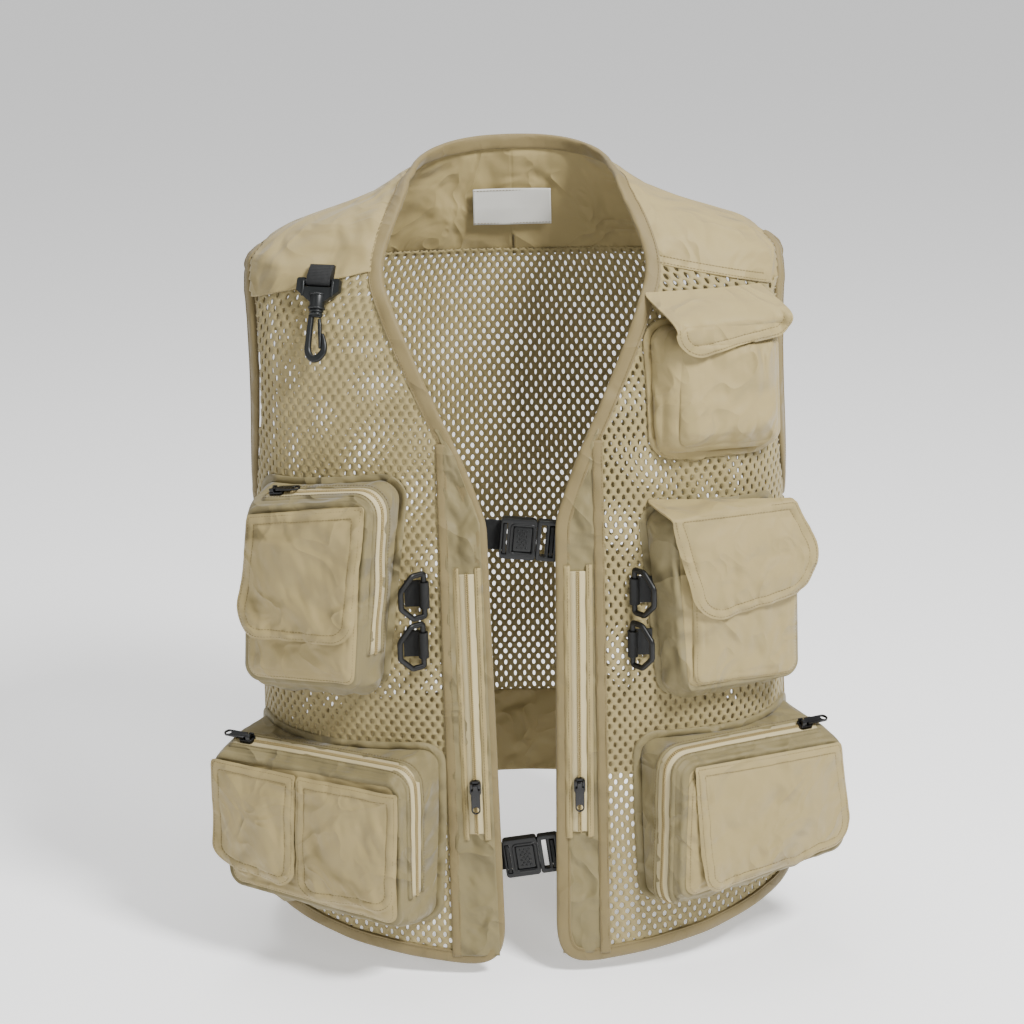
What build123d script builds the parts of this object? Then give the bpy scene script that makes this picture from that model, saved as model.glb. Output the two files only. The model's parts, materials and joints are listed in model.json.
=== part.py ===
from build123d import *
import math
import os

os.makedirs("parts", exist_ok=True)

# A mesh fishing vest, as it hangs on a body: front towards -Y, the wearer's right at -X, up +Z.
# The origin lies midway between the two shoulder-neck points. Millimetres throughout.

# ---------------------------------------------------------------- driving sizes
chest_half_width = 222.0
chest_half_depth = 116.0
shoulder_half_width = 219.0
neck_half_width = 81.0
shoulder_drop = 57.0
front_length = 648.0
back_length = 583.0
side_length = 612.0
squareness = 2.4
section_points = 24
seam_y = 8.0

cloth = 2.0
binding_width = 11.0

front_gap_top = 28.5
front_gap_bottom = 22.5
v_bottom_z = -265.0
front_corner_radius = 26.0
placket_edge_x = 62.0
back_neck_rise = 16.0
back_neck_y = 75.0

armhole_centre_y = 8.0
armhole_centre_z = -170.0
armhole_half_width = 42.0
armhole_half_height = 112.0

yoke_seam_inner_z = -64.0
yoke_seam_outer_z = -94.0
back_yoke_z = -90.0
back_band_height = 81.0

pocket_cloth = 1.6
pocket_reach = 80.0
flap_cloth = 1.6
flap_lift = 0.6
box_corner_radius = 13.0
zip_tape_width = 16.0
zip_tape_height = 1.0
coil_width = 5.0
coil_height = 1.6
front_zip_offset = 19.0
front_zip_top_z = -306.0
front_zip_bottom_z = -531.0

slider_length = 13.0
slider_width = 9.5
slider_height = 3.6
run_gap = 0.4
hinge_gap = 0.3
pull_length = 25.0
pull_width = 7.6
pull_thickness = 1.8
pull_hole_radius = 2.6
knuckle_radius = 1.2
knuckle_width = 4.0
knuckle_x = 3.0
cheek_length = 4.0
cheek_width = 1.6

ring_height = 41.0
ring_reach = 27.0
ring_rod = 4.0
ring_thickness = 3.6
tab_webbing = 1.2
tab_height = 22.0
tab_length = 16.0

buckle_height = 34.0
buckle_thickness = 8.0
housing_length = 29.0
button_length = 15.0
button_height = 21.0
button_gap = 0.4
prong_thickness = 3.0
prong_height = 3.2
prong_length = 17.0
tongue_length = 17.0
strap_height = 25.0
strap_thickness = 1.5
buckle_slot = 4.0

waist_buckle_rise = 92.0

hook_webbing_width = 20.0
hook_base_width = 36.0
hook_base_height = 24.0
hook_base_thickness = 6.0
hook_bar_radius = 2.0
hook_arm_top = 3.0
barrel_radius = 6.0
swivel_radius = 2.6
hook_length = 42.0
hook_thickness = 5.0

label_width = 66.0
label_height = 30.0

# ---------------------------------------------------------------- the body that the vest wraps
# Level sections: height, half width, half depth and centre, from below the hem to the back neck.
body_sections = [
    (-front_length - 20.0, chest_half_width + 9.0, chest_half_depth + 8.0, 0.0),
    (-0.85 * front_length, chest_half_width + 6.0, chest_half_depth + 5.0, 0.0),
    (-0.70 * front_length, chest_half_width + 2.0, chest_half_depth + 2.0, 0.0),
    (-0.47 * front_length, chest_half_width, chest_half_depth - 2.0, 2.0),
    (-shoulder_drop - 93.0, chest_half_width - 1.0, chest_half_depth - 12.0, 6.0),
    (-shoulder_drop - 33.0, shoulder_half_width + 1.0, chest_half_depth - 26.0, 8.0),
    (-shoulder_drop - 9.0, shoulder_half_width - 5.0, chest_half_depth - 38.0, 9.0),
    (-0.82 * shoulder_drop, shoulder_half_width - 35.0, chest_half_depth - 46.0, 11.0),
    (-0.39 * shoulder_drop, neck_half_width + 34.0, chest_half_depth - 52.0, 13.0),
    (0.0, neck_half_width, chest_half_depth - 56.0, 14.0),
    (back_neck_rise + 6.0, neck_half_width - 13.0, chest_half_depth - 58.0, 16.0),
]


def section_outline(half_width, half_depth, centre_y):
    """Points round a rounded-square section, seen from above."""
    power = 2.0 / squareness
    points = []
    for index in range(section_points):
        turn = 2.0 * math.pi * index / section_points
        across, along = math.cos(turn), math.sin(turn)
        x = half_width * math.copysign(abs(across) ** power, across)
        y = half_depth * math.copysign(abs(along) ** power, along)
        points.append((x, centre_y + y))
    return points


def body_form(shrink):
    """The wrapped body, taken in by a cloth thickness where shrink says so."""
    with BuildPart() as form:
        for z, half_width, half_depth, centre_y in body_sections:
            with BuildSketch(Plane.XY.offset(z - shrink)):
                with BuildLine():
                    section = section_outline(half_width - shrink, half_depth - shrink, centre_y)
                    Spline(*section, periodic=True)
                make_face()
        loft()
    return form.part


outer_form = body_form(0.0)
inner_form = body_form(cloth)


def front_y(x, z):
    """Where the front of the vest's outer skin is, at a place seen from the front."""
    hits = outer_form.find_intersection_points(Axis((x, -500, z), (0, 1, 0)))
    return min(point.Y for point, _ in hits)


def back_y(x, z):
    hits = inner_form.find_intersection_points(Axis((x, 500, z), (0, -1, 0)))
    return max(point.Y for point, _ in hits)


def facing(x, y, z, turn, lean=0.0):
    """A plane standing on the vest: x runs level along the cloth, y runs up, z points outwards.
    turn is how far it faces towards the wearer's left, lean how far it faces upwards."""
    level, tilt = math.radians(turn), math.radians(lean)
    outward = (
        math.sin(level) * math.cos(tilt),
        -math.cos(level) * math.cos(tilt),
        math.sin(tilt),
    )
    return Plane(origin=(x, y, z), x_dir=(math.cos(level), math.sin(level), 0), z_dir=outward)


# ---------------------------------------------------------------- the shell of the vest
front_plane = Plane.XZ.offset(-seam_y)
back_plane = Plane.XZ.offset(-seam_y)
far = 330.0

with BuildPart() as shell:
    add(outer_form)
    add(inner_form, mode=Mode.SUBTRACT)
    with BuildSketch(Plane.YZ):
        with Locations((armhole_centre_y, armhole_centre_z)):
            Ellipse(armhole_half_width, armhole_half_height)
    extrude(amount=far, both=True, mode=Mode.SUBTRACT)

with BuildPart() as armhole_rings:
    add(outer_form)
    add(inner_form, mode=Mode.SUBTRACT)
    with BuildSketch(Plane.YZ):
        with Locations((armhole_centre_y, armhole_centre_z)):
            Ellipse(armhole_half_width + binding_width, armhole_half_height + binding_width)
            Ellipse(armhole_half_width, armhole_half_height, mode=Mode.SUBTRACT)
    extrude(amount=far, both=True, mode=Mode.INTERSECT)

with BuildPart() as inside_rings:
    add(shell.part)
    with BuildSketch(Plane.YZ):
        with Locations((armhole_centre_y, armhole_centre_z)):
            Ellipse(armhole_half_width + binding_width, armhole_half_height + binding_width)
    extrude(amount=far, both=True, mode=Mode.SUBTRACT)

with BuildPart() as front_shell:
    add(inside_rings.part)
    with BuildSketch(front_plane):
        with Locations((0, -far)):
            Rectangle(2 * far, 3 * far)
    extrude(amount=far, mode=Mode.INTERSECT)

with BuildPart() as back_shell:
    add(inside_rings.part)
    with BuildSketch(back_plane):
        with Locations((0, -far)):
            Rectangle(2 * far, 3 * far)
    extrude(amount=-far, mode=Mode.INTERSECT)

neck_curve = [
    (neck_half_width, 0.0),
    (neck_half_width + 23.0, -60.0),
    (neck_half_width + 16.0, -97.0),
    (68.0, -167.0),
    (45.0, -218.0),
    (front_gap_top, v_bottom_z),
]


def set_in(points, amount):
    """The same run of points, moved to its left-hand side seen going down the neck line."""
    moved = []
    for index, (x, z) in enumerate(points):
        before_x, before_z = points[max(index - 1, 0)]
        after_x, after_z = points[min(index + 1, len(points) - 1)]
        along_x, along_z = after_x - before_x, after_z - before_z
        length = math.hypot(along_x, along_z)
        moved.append((x - amount * along_z / length, z + amount * along_x / length))
    return moved


def panel_outline(side, inset):
    """Half of the front, from its open edge to past the side seam, seen from the front."""
    neck_points = [(side * x, z) for x, z in set_in(neck_curve, inset)]
    edge_x = side * (front_gap_bottom + inset)
    corner_z = -front_length + front_corner_radius
    hem_start_x = side * (front_gap_bottom + 1.2 * front_corner_radius)
    hem_z = -front_length + inset
    with BuildLine() as outline:
        top = Line((neck_points[0][0], 80), neck_points[0])
        neck = Spline(*neck_points)
        edge = Line(neck @ 1, (edge_x, corner_z))
        corner = Spline(edge @ 1, (hem_start_x, hem_z), tangents=[(0, -1), (side, 0)])
        hem = Spline(
            corner @ 1,
            (side * 150.0, hem_z + 15.0),
            (side * chest_half_width, -side_length + inset),
            tangents=[(side, 0), (side, 0.25)],
        )
        Polyline(hem @ 1, (side * far, -side_length + inset + 22.0), (side * far, 80), top @ 0)
    return outline.line


def front_piece(side, region):
    """The front shell inside its binding, or the binding along its open edge and hem."""
    with BuildPart() as piece:
        add(front_shell.part)
        with BuildSketch(front_plane):
            with BuildLine():
                add(panel_outline(side, 0.0 if region == "binding" else binding_width))
            make_face()
            if region == "binding":
                with BuildLine():
                    add(panel_outline(side, binding_width))
                make_face(mode=Mode.SUBTRACT)
        extrude(amount=far, mode=Mode.INTERSECT)
    return piece.part


def yoke_area(side):
    """The part of the front above the yoke seam."""
    with BuildLine() as line:
        Polyline(
            (side * 0, yoke_seam_inner_z),
            (side * (neck_half_width + 25.0), yoke_seam_inner_z),
            (side * (shoulder_half_width - 10.0), yoke_seam_outer_z),
            (side * far, yoke_seam_outer_z),
            (side * far, 80),
            (side * 0, 80),
            close=True,
        )
    return line.line


def cut_front(source, outline, mode):
    with BuildPart() as piece:
        add(source)
        with BuildSketch(front_plane):
            with BuildLine():
                add(outline)
            make_face()
        extrude(amount=far, mode=mode)
    return piece.part


def placket_area(side):
    with BuildLine() as line:
        Polyline(
            (0, -110),
            (side * placket_edge_x, -110),
            (side * placket_edge_x, -front_length - 60),
            (0, -front_length - 60),
            close=True,
        )
    return line.line


front_bindings = {}
front_meshes = {}
plackets = {}
front_yokes = {}
for side, name in ((-1, "right"), (1, "left")):
    front_bindings[name] = front_piece(side, "binding")
    inset_front = front_piece(side, "inside")
    front_yokes[name] = cut_front(inset_front, yoke_area(side), Mode.INTERSECT)
    below_yoke = cut_front(inset_front, yoke_area(side), Mode.SUBTRACT)
    plackets[name] = cut_front(below_yoke, placket_area(side), Mode.INTERSECT)
    front_meshes[name] = cut_front(below_yoke, placket_area(side), Mode.SUBTRACT)

# The back: neck line, yoke, mesh and hem band.
neck_slope = back_neck_rise / (back_neck_y - 5.0)


def above_neck(lower_front, lower_back):
    """Everything above a sloping line that runs from the shoulder to the back of the neck."""
    with BuildLine() as line:
        Polyline(
            (5.0, -lower_front),
            (back_neck_y, back_neck_rise - lower_back),
            (far, back_neck_rise - lower_back + neck_slope * (far - back_neck_y)),
            (far, far),
            (5.0, far),
            close=True,
        )
    return line.line


def cut_side(source, outline, mode):
    with BuildPart() as piece:
        add(source)
        with BuildSketch(Plane.YZ):
            with BuildLine():
                add(outline)
            make_face()
        extrude(amount=far, both=True, mode=mode)
    return piece.part


def back_area(top_z, low_z):
    """A level band of the back."""
    with BuildLine() as line:
        Polyline((-far, low_z), (-far, top_z), (far, top_z), (far, low_z), close=True)
    return line.line


def above_back_hem():
    """The back above its hem, which drops in an arc towards the side seams."""
    bend = (side_length - back_length) * (far / chest_half_width) ** 2
    with BuildLine() as line:
        Polyline((-far, -back_length - bend), (-far, far), (far, far), (far, -back_length - bend))
        ThreePointArc((far, -back_length - bend), (0, -back_length), (-far, -back_length - bend))
    return line.line


def cut_back(source, outline, mode):
    with BuildPart() as piece:
        add(source)
        with BuildSketch(back_plane):
            with BuildLine():
                add(outline)
            make_face()
        extrude(amount=-far, mode=mode)
    return piece.part


binding_drop_front = 4.5
trimmed_back = cut_side(back_shell.part, above_neck(0.0, 0.0), Mode.SUBTRACT)
trimmed_back = cut_back(trimmed_back, above_back_hem(), Mode.INTERSECT)
back_neck_binding = cut_side(trimmed_back, above_neck(binding_drop_front, binding_width), Mode.INTERSECT)
below_binding = cut_side(trimmed_back, above_neck(binding_drop_front, binding_width), Mode.SUBTRACT)
back_yoke = cut_back(below_binding, back_area(far, back_yoke_z), Mode.INTERSECT)
band_top_z = -back_length + back_band_height
back_mesh = cut_back(below_binding, back_area(back_yoke_z, band_top_z), Mode.INTERSECT)
back_band = cut_back(below_binding, back_area(band_top_z, -back_length - 60.0), Mode.INTERSECT)


def save(part, name):
    part.label = name
    export_step(part, f"parts/{name}.step")


with BuildPart() as shoulder_yoke:
    add(back_yoke)
    add(front_yokes["right"])
    add(front_yokes["left"])
save(shoulder_yoke.part, "shoulder_yoke")

with BuildPart() as edge_binding:
    add(front_bindings["right"])
    add(front_bindings["left"])
    add(back_neck_binding)
save(edge_binding.part, "edge_binding")

save(back_mesh, "back_mesh_panel")
save(back_band, "back_hem_band")
for name in ("right", "left"):
    save(front_meshes[name], f"{name}_front_mesh")
    save(plackets[name], f"{name}_placket")
save(armhole_rings.part, "armhole_bindings")


# ---------------------------------------------------------------- neck label
label_z = -34.0
label_plane = Plane(
    origin=(0, back_y(0, label_z), label_z),
    x_dir=(1, 0, 0),
    z_dir=(0, -1, 0),
)
with BuildPart() as neck_label:
    with BuildSketch(label_plane.offset(cloth)):
        RectangleRounded(label_width, label_height, 2.0)
    extrude(amount=-12.0)
    add(inner_form, mode=Mode.INTERSECT)
save(neck_label.part, "neck_label")


# ---------------------------------------------------------------- box pockets
def closed_outline(corners, radius):
    with BuildLine() as line:
        FilletPolyline(*corners, radius=radius, close=True)
    return line.line


def grown(corners, amount):
    """A four-sided outline with each corner moved outwards from the middle."""
    middle_x = sum(x for x, _ in corners) / len(corners)
    middle_y = sum(y for _, y in corners) / len(corners)
    return [
        (x + amount * math.copysign(1, x - middle_x), y + amount * math.copysign(1, y - middle_y))
        for x, y in corners
    ]


def pocket_block(plane, face, base, amount):
    """A solid from the pocket's face back into the body, grown or shrunk by amount."""
    with BuildPart() as block:
        with BuildSketch(plane):
            with BuildLine():
                add(closed_outline(grown(face, amount), box_corner_radius + amount))
            make_face()
        with BuildSketch(plane.offset(-pocket_reach)):
            with BuildLine():
                add(closed_outline(grown(base, amount), box_corner_radius + amount))
            make_face()
        loft(ruled=True)
    return block.part


def open_top(corners, lift):
    """The same outline with its two upper corners raised, so the top is left open."""
    middle_y = sum(y for _, y in corners) / len(corners)
    return [(x, y + lift if y > middle_y else y) for x, y in corners]


def gusset(plane, face, base, is_open):
    """The side walls of a pocket, from its face to the vest."""
    raised = 30.0 if is_open else 0.0
    solid = pocket_block(plane, face, base, 0.0)
    hollow = pocket_block(plane, open_top(face, raised), open_top(base, raised), -pocket_cloth)
    with BuildPart() as walls:
        add(solid)
        add(hollow, mode=Mode.SUBTRACT)
        add(outer_form, mode=Mode.SUBTRACT)
    return walls.part


def plate(plane, corners, radius, thickness):
    with BuildPart() as sheet:
        with BuildSketch(plane):
            with BuildLine():
                add(closed_outline(corners, radius))
            make_face()
        extrude(amount=thickness)
    return sheet.part


def zip_band(plane, face, base, depth, run):
    """Zip tape and coil that lie on the gusset, over its top and down its inner side."""
    under = pocket_block(plane, face, base, 0.0)
    tape_block = pocket_block(plane, face, base, zip_tape_height)
    coil_block = pocket_block(plane, face, base, coil_height)
    with BuildPart() as band:
        add(tape_block)
        add(under, mode=Mode.SUBTRACT)
        with BuildSketch(plane.offset(-depth - zip_tape_width / 2)):
            with BuildLine():
                add(run)
            make_face()
        extrude(amount=zip_tape_width, mode=Mode.INTERSECT)
        add(outer_form, mode=Mode.SUBTRACT)
    with BuildPart() as coil:
        add(coil_block)
        add(tape_block, mode=Mode.SUBTRACT)
        with BuildSketch(plane.offset(-depth - coil_width / 2)):
            with BuildLine():
                add(run)
            make_face()
        extrude(amount=coil_width, mode=Mode.INTERSECT)
    with BuildPart() as both:
        add(band.part)
        add(coil.part)
    return both.part


def slider_plane(plane, face, base, depth, distance, pull_side):
    """The frame of a slider on the top run: x along the zip, z away from the gusset.
    distance is measured along the face's top edge from its outer end; the pull lies
    towards that end where pull_side is 1 and away from it where it is -1."""
    share = depth / pocket_reach
    left = [f + share * (b - f) for f, b in zip(face[0], base[0])]
    right = [f + share * (b - f) for f, b in zip(face[1], base[1])]
    run_length = math.hypot(right[0] - left[0], right[1] - left[1])
    at = distance / run_length
    spot = plane.from_local_coords(Vector(left[0] + at * (right[0] - left[0]),
                                          left[1] + at * (right[1] - left[1]), -depth))
    end = plane.from_local_coords(Vector(*right, -depth))
    face_spot = plane.from_local_coords(Vector(face[0][0] + at * (face[1][0] - face[0][0]),
                                               face[0][1] + at * (face[1][1] - face[0][1]), 0))
    along = (end - spot).normalized()
    across = (face_spot - spot).normalized()
    upward = along.cross(across)
    if upward.Z < 0:
        upward = upward * -1
    return Plane(origin=spot, x_dir=along * pull_side, z_dir=upward)


def zip_slider(plane):
    """A slider over the coil, with two cheeks that carry the pull's knuckle."""
    base_z = coil_height + run_gap
    top_z = base_z + slider_height
    with BuildPart() as slider:
        with BuildSketch(plane.offset(base_z)):
            RectangleRounded(slider_length, slider_width, 3.0)
        extrude(amount=slider_height)
        cheek_offset = knuckle_width / 2 + hinge_gap + cheek_width / 2
        with BuildSketch(plane.offset(top_z)):
            with Locations((knuckle_x, cheek_offset), (knuckle_x, -cheek_offset)):
                Rectangle(cheek_length, cheek_width)
        extrude(amount=2 * (knuckle_radius + hinge_gap))
    return slider.part


def zip_pull(plane):
    """A moulded pull: a knuckle between the slider's cheeks, a flat grip and a ring end."""
    axis_z = coil_height + run_gap + slider_height + knuckle_radius + hinge_gap
    neck_end = knuckle_x - 4.0
    tip_x = knuckle_x - pull_length
    ring_outer = pull_width / 2
    with BuildPart() as pull:
        with BuildSketch(plane.offset(axis_z - pull_thickness / 2)):
            with Locations(((knuckle_x + neck_end) / 2, 0)):
                Rectangle(knuckle_x - neck_end, knuckle_width)
            with Locations(((neck_end + tip_x + ring_outer) / 2, 0)):
                Rectangle(neck_end - tip_x - ring_outer, pull_width)
            with Locations((tip_x + ring_outer, 0)):
                Circle(ring_outer)
                Circle(pull_hole_radius, mode=Mode.SUBTRACT)
        extrude(amount=pull_thickness)
        knuckle_plane = Plane(
            origin=plane.from_local_coords(Vector(knuckle_x, 0, axis_z)),
            x_dir=plane.x_dir,
            z_dir=plane.y_dir,
        )
        with BuildSketch(knuckle_plane.offset(-knuckle_width / 2)):
            Circle(knuckle_radius)
        extrude(amount=knuckle_width)
    return pull.part


joint_notes = {}


def note(name, point, axis):
    """Keep a joint's place and direction, for the listing printed at the end."""
    joint_notes[name] = (point, axis)


def fit_zip(name, plane):
    save(zip_slider(plane), f"{name}_slider")
    save(zip_pull(plane), f"{name}_pull")
    axis_z = coil_height + run_gap + slider_height + knuckle_radius + hinge_gap
    note(f"{name}_slider", plane.origin, plane.x_dir)
    note(f"{name}_pull", plane.from_local_coords(Vector(knuckle_x, 0, axis_z)), plane.y_dir)


def flap(name, plane, corners, level):
    """A flap that hangs from its top edge in front of the pocket."""
    hung = plane.offset(level)
    save(plate(hung, corners, 12.0, flap_cloth), name)
    left, right = Vector(*corners[0], 0), Vector(*corners[1], 0)
    start, end = hung.from_local_coords(left), hung.from_local_coords(right)
    note(name, (start + end) * 0.5, (start - end).normalized())


def pocket_plane(x, z, turn, standoff):
    surface = facing(x, front_y(x, z), z, turn)
    return surface.offset(standoff)


# Outlines run: upper left, upper right, lower right, lower left, as seen from outside.
patch_level = pocket_cloth
patch_cloth = 2.0
flap_level = patch_level + patch_cloth + flap_lift

right_mid_plane = pocket_plane(-150.0, -315.0, -26.0, 34.0)
right_mid_face = [(-60, 65), (52, 84), (34, -79), (-72, -85)]
right_mid_base = [(-78, 78), (54, 86), (40, -88), (-76, -92)]
right_low_plane = pocket_plane(-150.0, -530.0, -28.0, 34.0)
right_low_face = [(-109, 62), (72, 66), (68, -66), (-98, -58)]
right_low_base = [(-96, 80), (78, 77), (76, -82), (-90, -74)]
left_low_plane = pocket_plane(150.0, -530.0, 28.0, 34.0)
left_low_face = [(-45, 70), (110, 60), (116, -44), (-50, -52)]
left_low_base = [(-62, 82), (92, 84), (96, -66), (-60, -74)]
left_mid_plane = pocket_plane(150.0, -340.0, 26.0, 20.0)
left_mid_face = [(-46, 80), (72, 70), (76, -74), (-36, -68)]
left_mid_base = [(-52, 84), (60, 80), (66, -82), (-46, -78)]
left_chest_plane = pocket_plane(150.0, -165.0, 26.0, 18.0)
left_chest_face = [(-40, 50), (60, 44), (64, -54), (-42, -46)]
left_chest_base = [(-46, 54), (48, 52), (52, -56), (-46, -52)]

zip_depth = 17.0
box_pockets = {
    "right_mid": (right_mid_plane, right_mid_face, right_mid_base),
    "right_low": (right_low_plane, right_low_face, right_low_base),
    "left_low": (left_low_plane, left_low_face, left_low_base),
}
patches = {
    "right_mid": [(-58, 50), (46, 68), (32, -74), (-68, -80)],
    "right_low": [(-100, 48), (66, 52), (64, -62), (-94, -54)],
    "left_low": [(-40, 58), (104, 50), (110, -40), (-44, -48)],
}
zip_start = {"right_mid": 14.0, "right_low": 10.0, "left_low": 10.0}
zip_end_y = {"right_mid": 0.0, "right_low": -22.0, "left_low": -10.0}

for name, (plane, face, base) in box_pockets.items():
    save(gusset(plane, face, base, False), f"{name}_gusset")
    save(plate(plane, face, box_corner_radius, pocket_cloth), f"{name}_face")
    save(plate(plane.offset(patch_level), patches[name], 10.0, patch_cloth), f"{name}_patch")
    inner_side = 1 if name.startswith("right") else -1
    outer_x = (face[0][0] if inner_side > 0 else face[1][0]) + inner_side * zip_start[name]
    with BuildLine() as zip_run:
        Polyline(
            (outer_x, 30),
            (outer_x, 120),
            (inner_side * 110, 120),
            (inner_side * 110, zip_end_y[name]),
            (inner_side * 20, zip_end_y[name]),
            (inner_side * 20, 30),
            close=True,
        )
    save(zip_band(plane, face, base, zip_depth, zip_run.line), f"{name}_zip")

top_run = {
    "right_mid": (24.0, False, -1),
    "right_low": (22.0, False, 1),
    "left_low": (22.0, True, 1),
}
for name, (distance, from_right, pull_side) in top_run.items():
    plane, face, base = box_pockets[name]
    if from_right:
        face = [face[1], face[0], face[3], face[2]]
        base = [base[1], base[0], base[3], base[2]]
    fit_zip(name, slider_plane(plane, face, base, zip_depth, distance, pull_side))

flap("right_mid_flap", right_mid_plane, [(-57, 60), (50, 79), (35, -36), (-78, -44)], flap_level)
flap("right_low_flap_outer", right_low_plane, [(-108, 56), (-24, 56), (-30, -46), (-112, -36)], flap_level)
flap("right_low_flap_inner", right_low_plane, [(-22, 56), (71, 56), (67, -48), (-28, -52)], flap_level)
flap("left_low_flap", left_low_plane, [(-37, 66), (107, 56), (121, -34), (-30, -48)], flap_level)

save(gusset(left_mid_plane, left_mid_face, left_mid_base, True), "left_mid_gusset")
save(plate(left_mid_plane, left_mid_face, box_corner_radius, pocket_cloth), "left_mid_face")
flap("left_mid_flap", left_mid_plane, [(-56, 86), (56, 82), (90, 4), (-22, -4)], pocket_cloth + flap_lift)

chest_walls = gusset(left_chest_plane, left_chest_face, left_chest_base, True)
chest_front = plate(left_chest_plane, left_chest_face, box_corner_radius, pocket_cloth)
with BuildPart() as left_chest_pouch:
    add(chest_walls)
    add(chest_front)
save(left_chest_pouch.part, "left_chest_pouch")
chest_flap_corners = [(-50, 76), (50, 76), (66, 42), (-36, 40)]
flap("left_chest_flap", left_chest_plane, chest_flap_corners, pocket_cloth + flap_lift)

# ---------------------------------------------------------------- zips of the front edges
front_zip_parts = []
for side, name in ((-1, "right"), (1, "left")):
    top_x = side * (front_gap_top - 3.0 + front_zip_offset)
    low_x = side * (front_gap_bottom + 1.0 + front_zip_offset)
    top_point = Vector(top_x, front_y(top_x, front_zip_top_z), front_zip_top_z)
    low_point = Vector(low_x, front_y(low_x, front_zip_bottom_z), front_zip_bottom_z)
    upward = (top_point - low_point).normalized()
    outward = Vector(1, 0, 0).cross(upward)
    line_plane = Plane(origin=(top_point + low_point) * 0.5, x_dir=upward, z_dir=outward)
    length = (top_point - low_point).length
    with BuildPart() as front_zip:
        with BuildSketch(line_plane.offset(-3.0)):
            Rectangle(length, zip_tape_width)
        extrude(amount=3.0 + zip_tape_height)
        with BuildSketch(line_plane.offset(zip_tape_height)):
            Rectangle(length, coil_width)
        extrude(amount=coil_height - zip_tape_height + 0.4)
        add(outer_form, mode=Mode.SUBTRACT)
    front_zip_parts.append(front_zip.part)
    slide_plane = Plane(
        origin=line_plane.from_local_coords(Vector(-0.5 * length + 42.0, 0, 0.4)),
        x_dir=upward,
        z_dir=outward,
    )
    fit_zip(f"{name}_front", slide_plane)
with BuildPart() as front_zips:
    for zip_part in front_zip_parts:
        add(zip_part)
save(front_zips.part, "front_zips")

# ---------------------------------------------------------------- D rings on webbing tabs
ring_spots = {
    "right_upper_d_ring": (-79.0, -322.0, -1, 36.0),
    "right_lower_d_ring": (-81.0, -364.0, -1, 36.0),
    "left_upper_d_ring": (90.0, -324.0, 1, 50.0),
    "left_lower_d_ring": (88.0, -368.0, 1, 50.0),
}
eye_radius = math.hypot(ring_rod / 2, ring_thickness / 2) + hinge_gap
eye_outer = eye_radius + tab_webbing
tabs = []
for name, (x, z, side, raised) in ring_spots.items():
    bar_y = front_y(x, z) - eye_outer - 0.2
    rise = math.radians(raised)
    ring_plane = Plane(
        origin=(x, bar_y, z),
        x_dir=(side * math.cos(rise), -math.sin(rise), 0),
        z_dir=(math.sin(rise), side * math.cos(rise), 0),
    )
    half = ring_height / 2
    shoulder = 0.45 * ring_reach
    with BuildPart() as ring:
        with BuildSketch(ring_plane.offset(-ring_thickness / 2)):
            with BuildLine():
                FilletPolyline(
                    (-ring_rod / 2, -half),
                    (shoulder, -half),
                    (ring_reach, -0.4 * half),
                    (ring_reach, 0.4 * half),
                    (shoulder, half),
                    (-ring_rod / 2, half),
                    radius=3.0,
                    close=True,
                )
            make_face()
            offset(amount=-ring_rod, mode=Mode.SUBTRACT)
        extrude(amount=ring_thickness)
    save(ring.part, name)
    note(name, Vector(x, bar_y, z), Vector(0, 0, 1))
    with BuildPart() as tab:
        with BuildSketch(Plane.XY.offset(z - tab_height / 2)):
            with Locations((x, bar_y)):
                Circle(eye_outer)
            with Locations((x + side * tab_length / 2, bar_y + eye_outer)):
                Rectangle(tab_length, 2 * tab_webbing)
            with Locations((x, bar_y)):
                Circle(eye_radius, mode=Mode.SUBTRACT)
        extrude(amount=tab_height)
        add(outer_form, mode=Mode.SUBTRACT)
    tabs.append(tab.part)
with BuildPart() as d_ring_tabs:
    for tab_part in tabs:
        add(tab_part)
save(d_ring_tabs.part, "d_ring_tabs")


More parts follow.
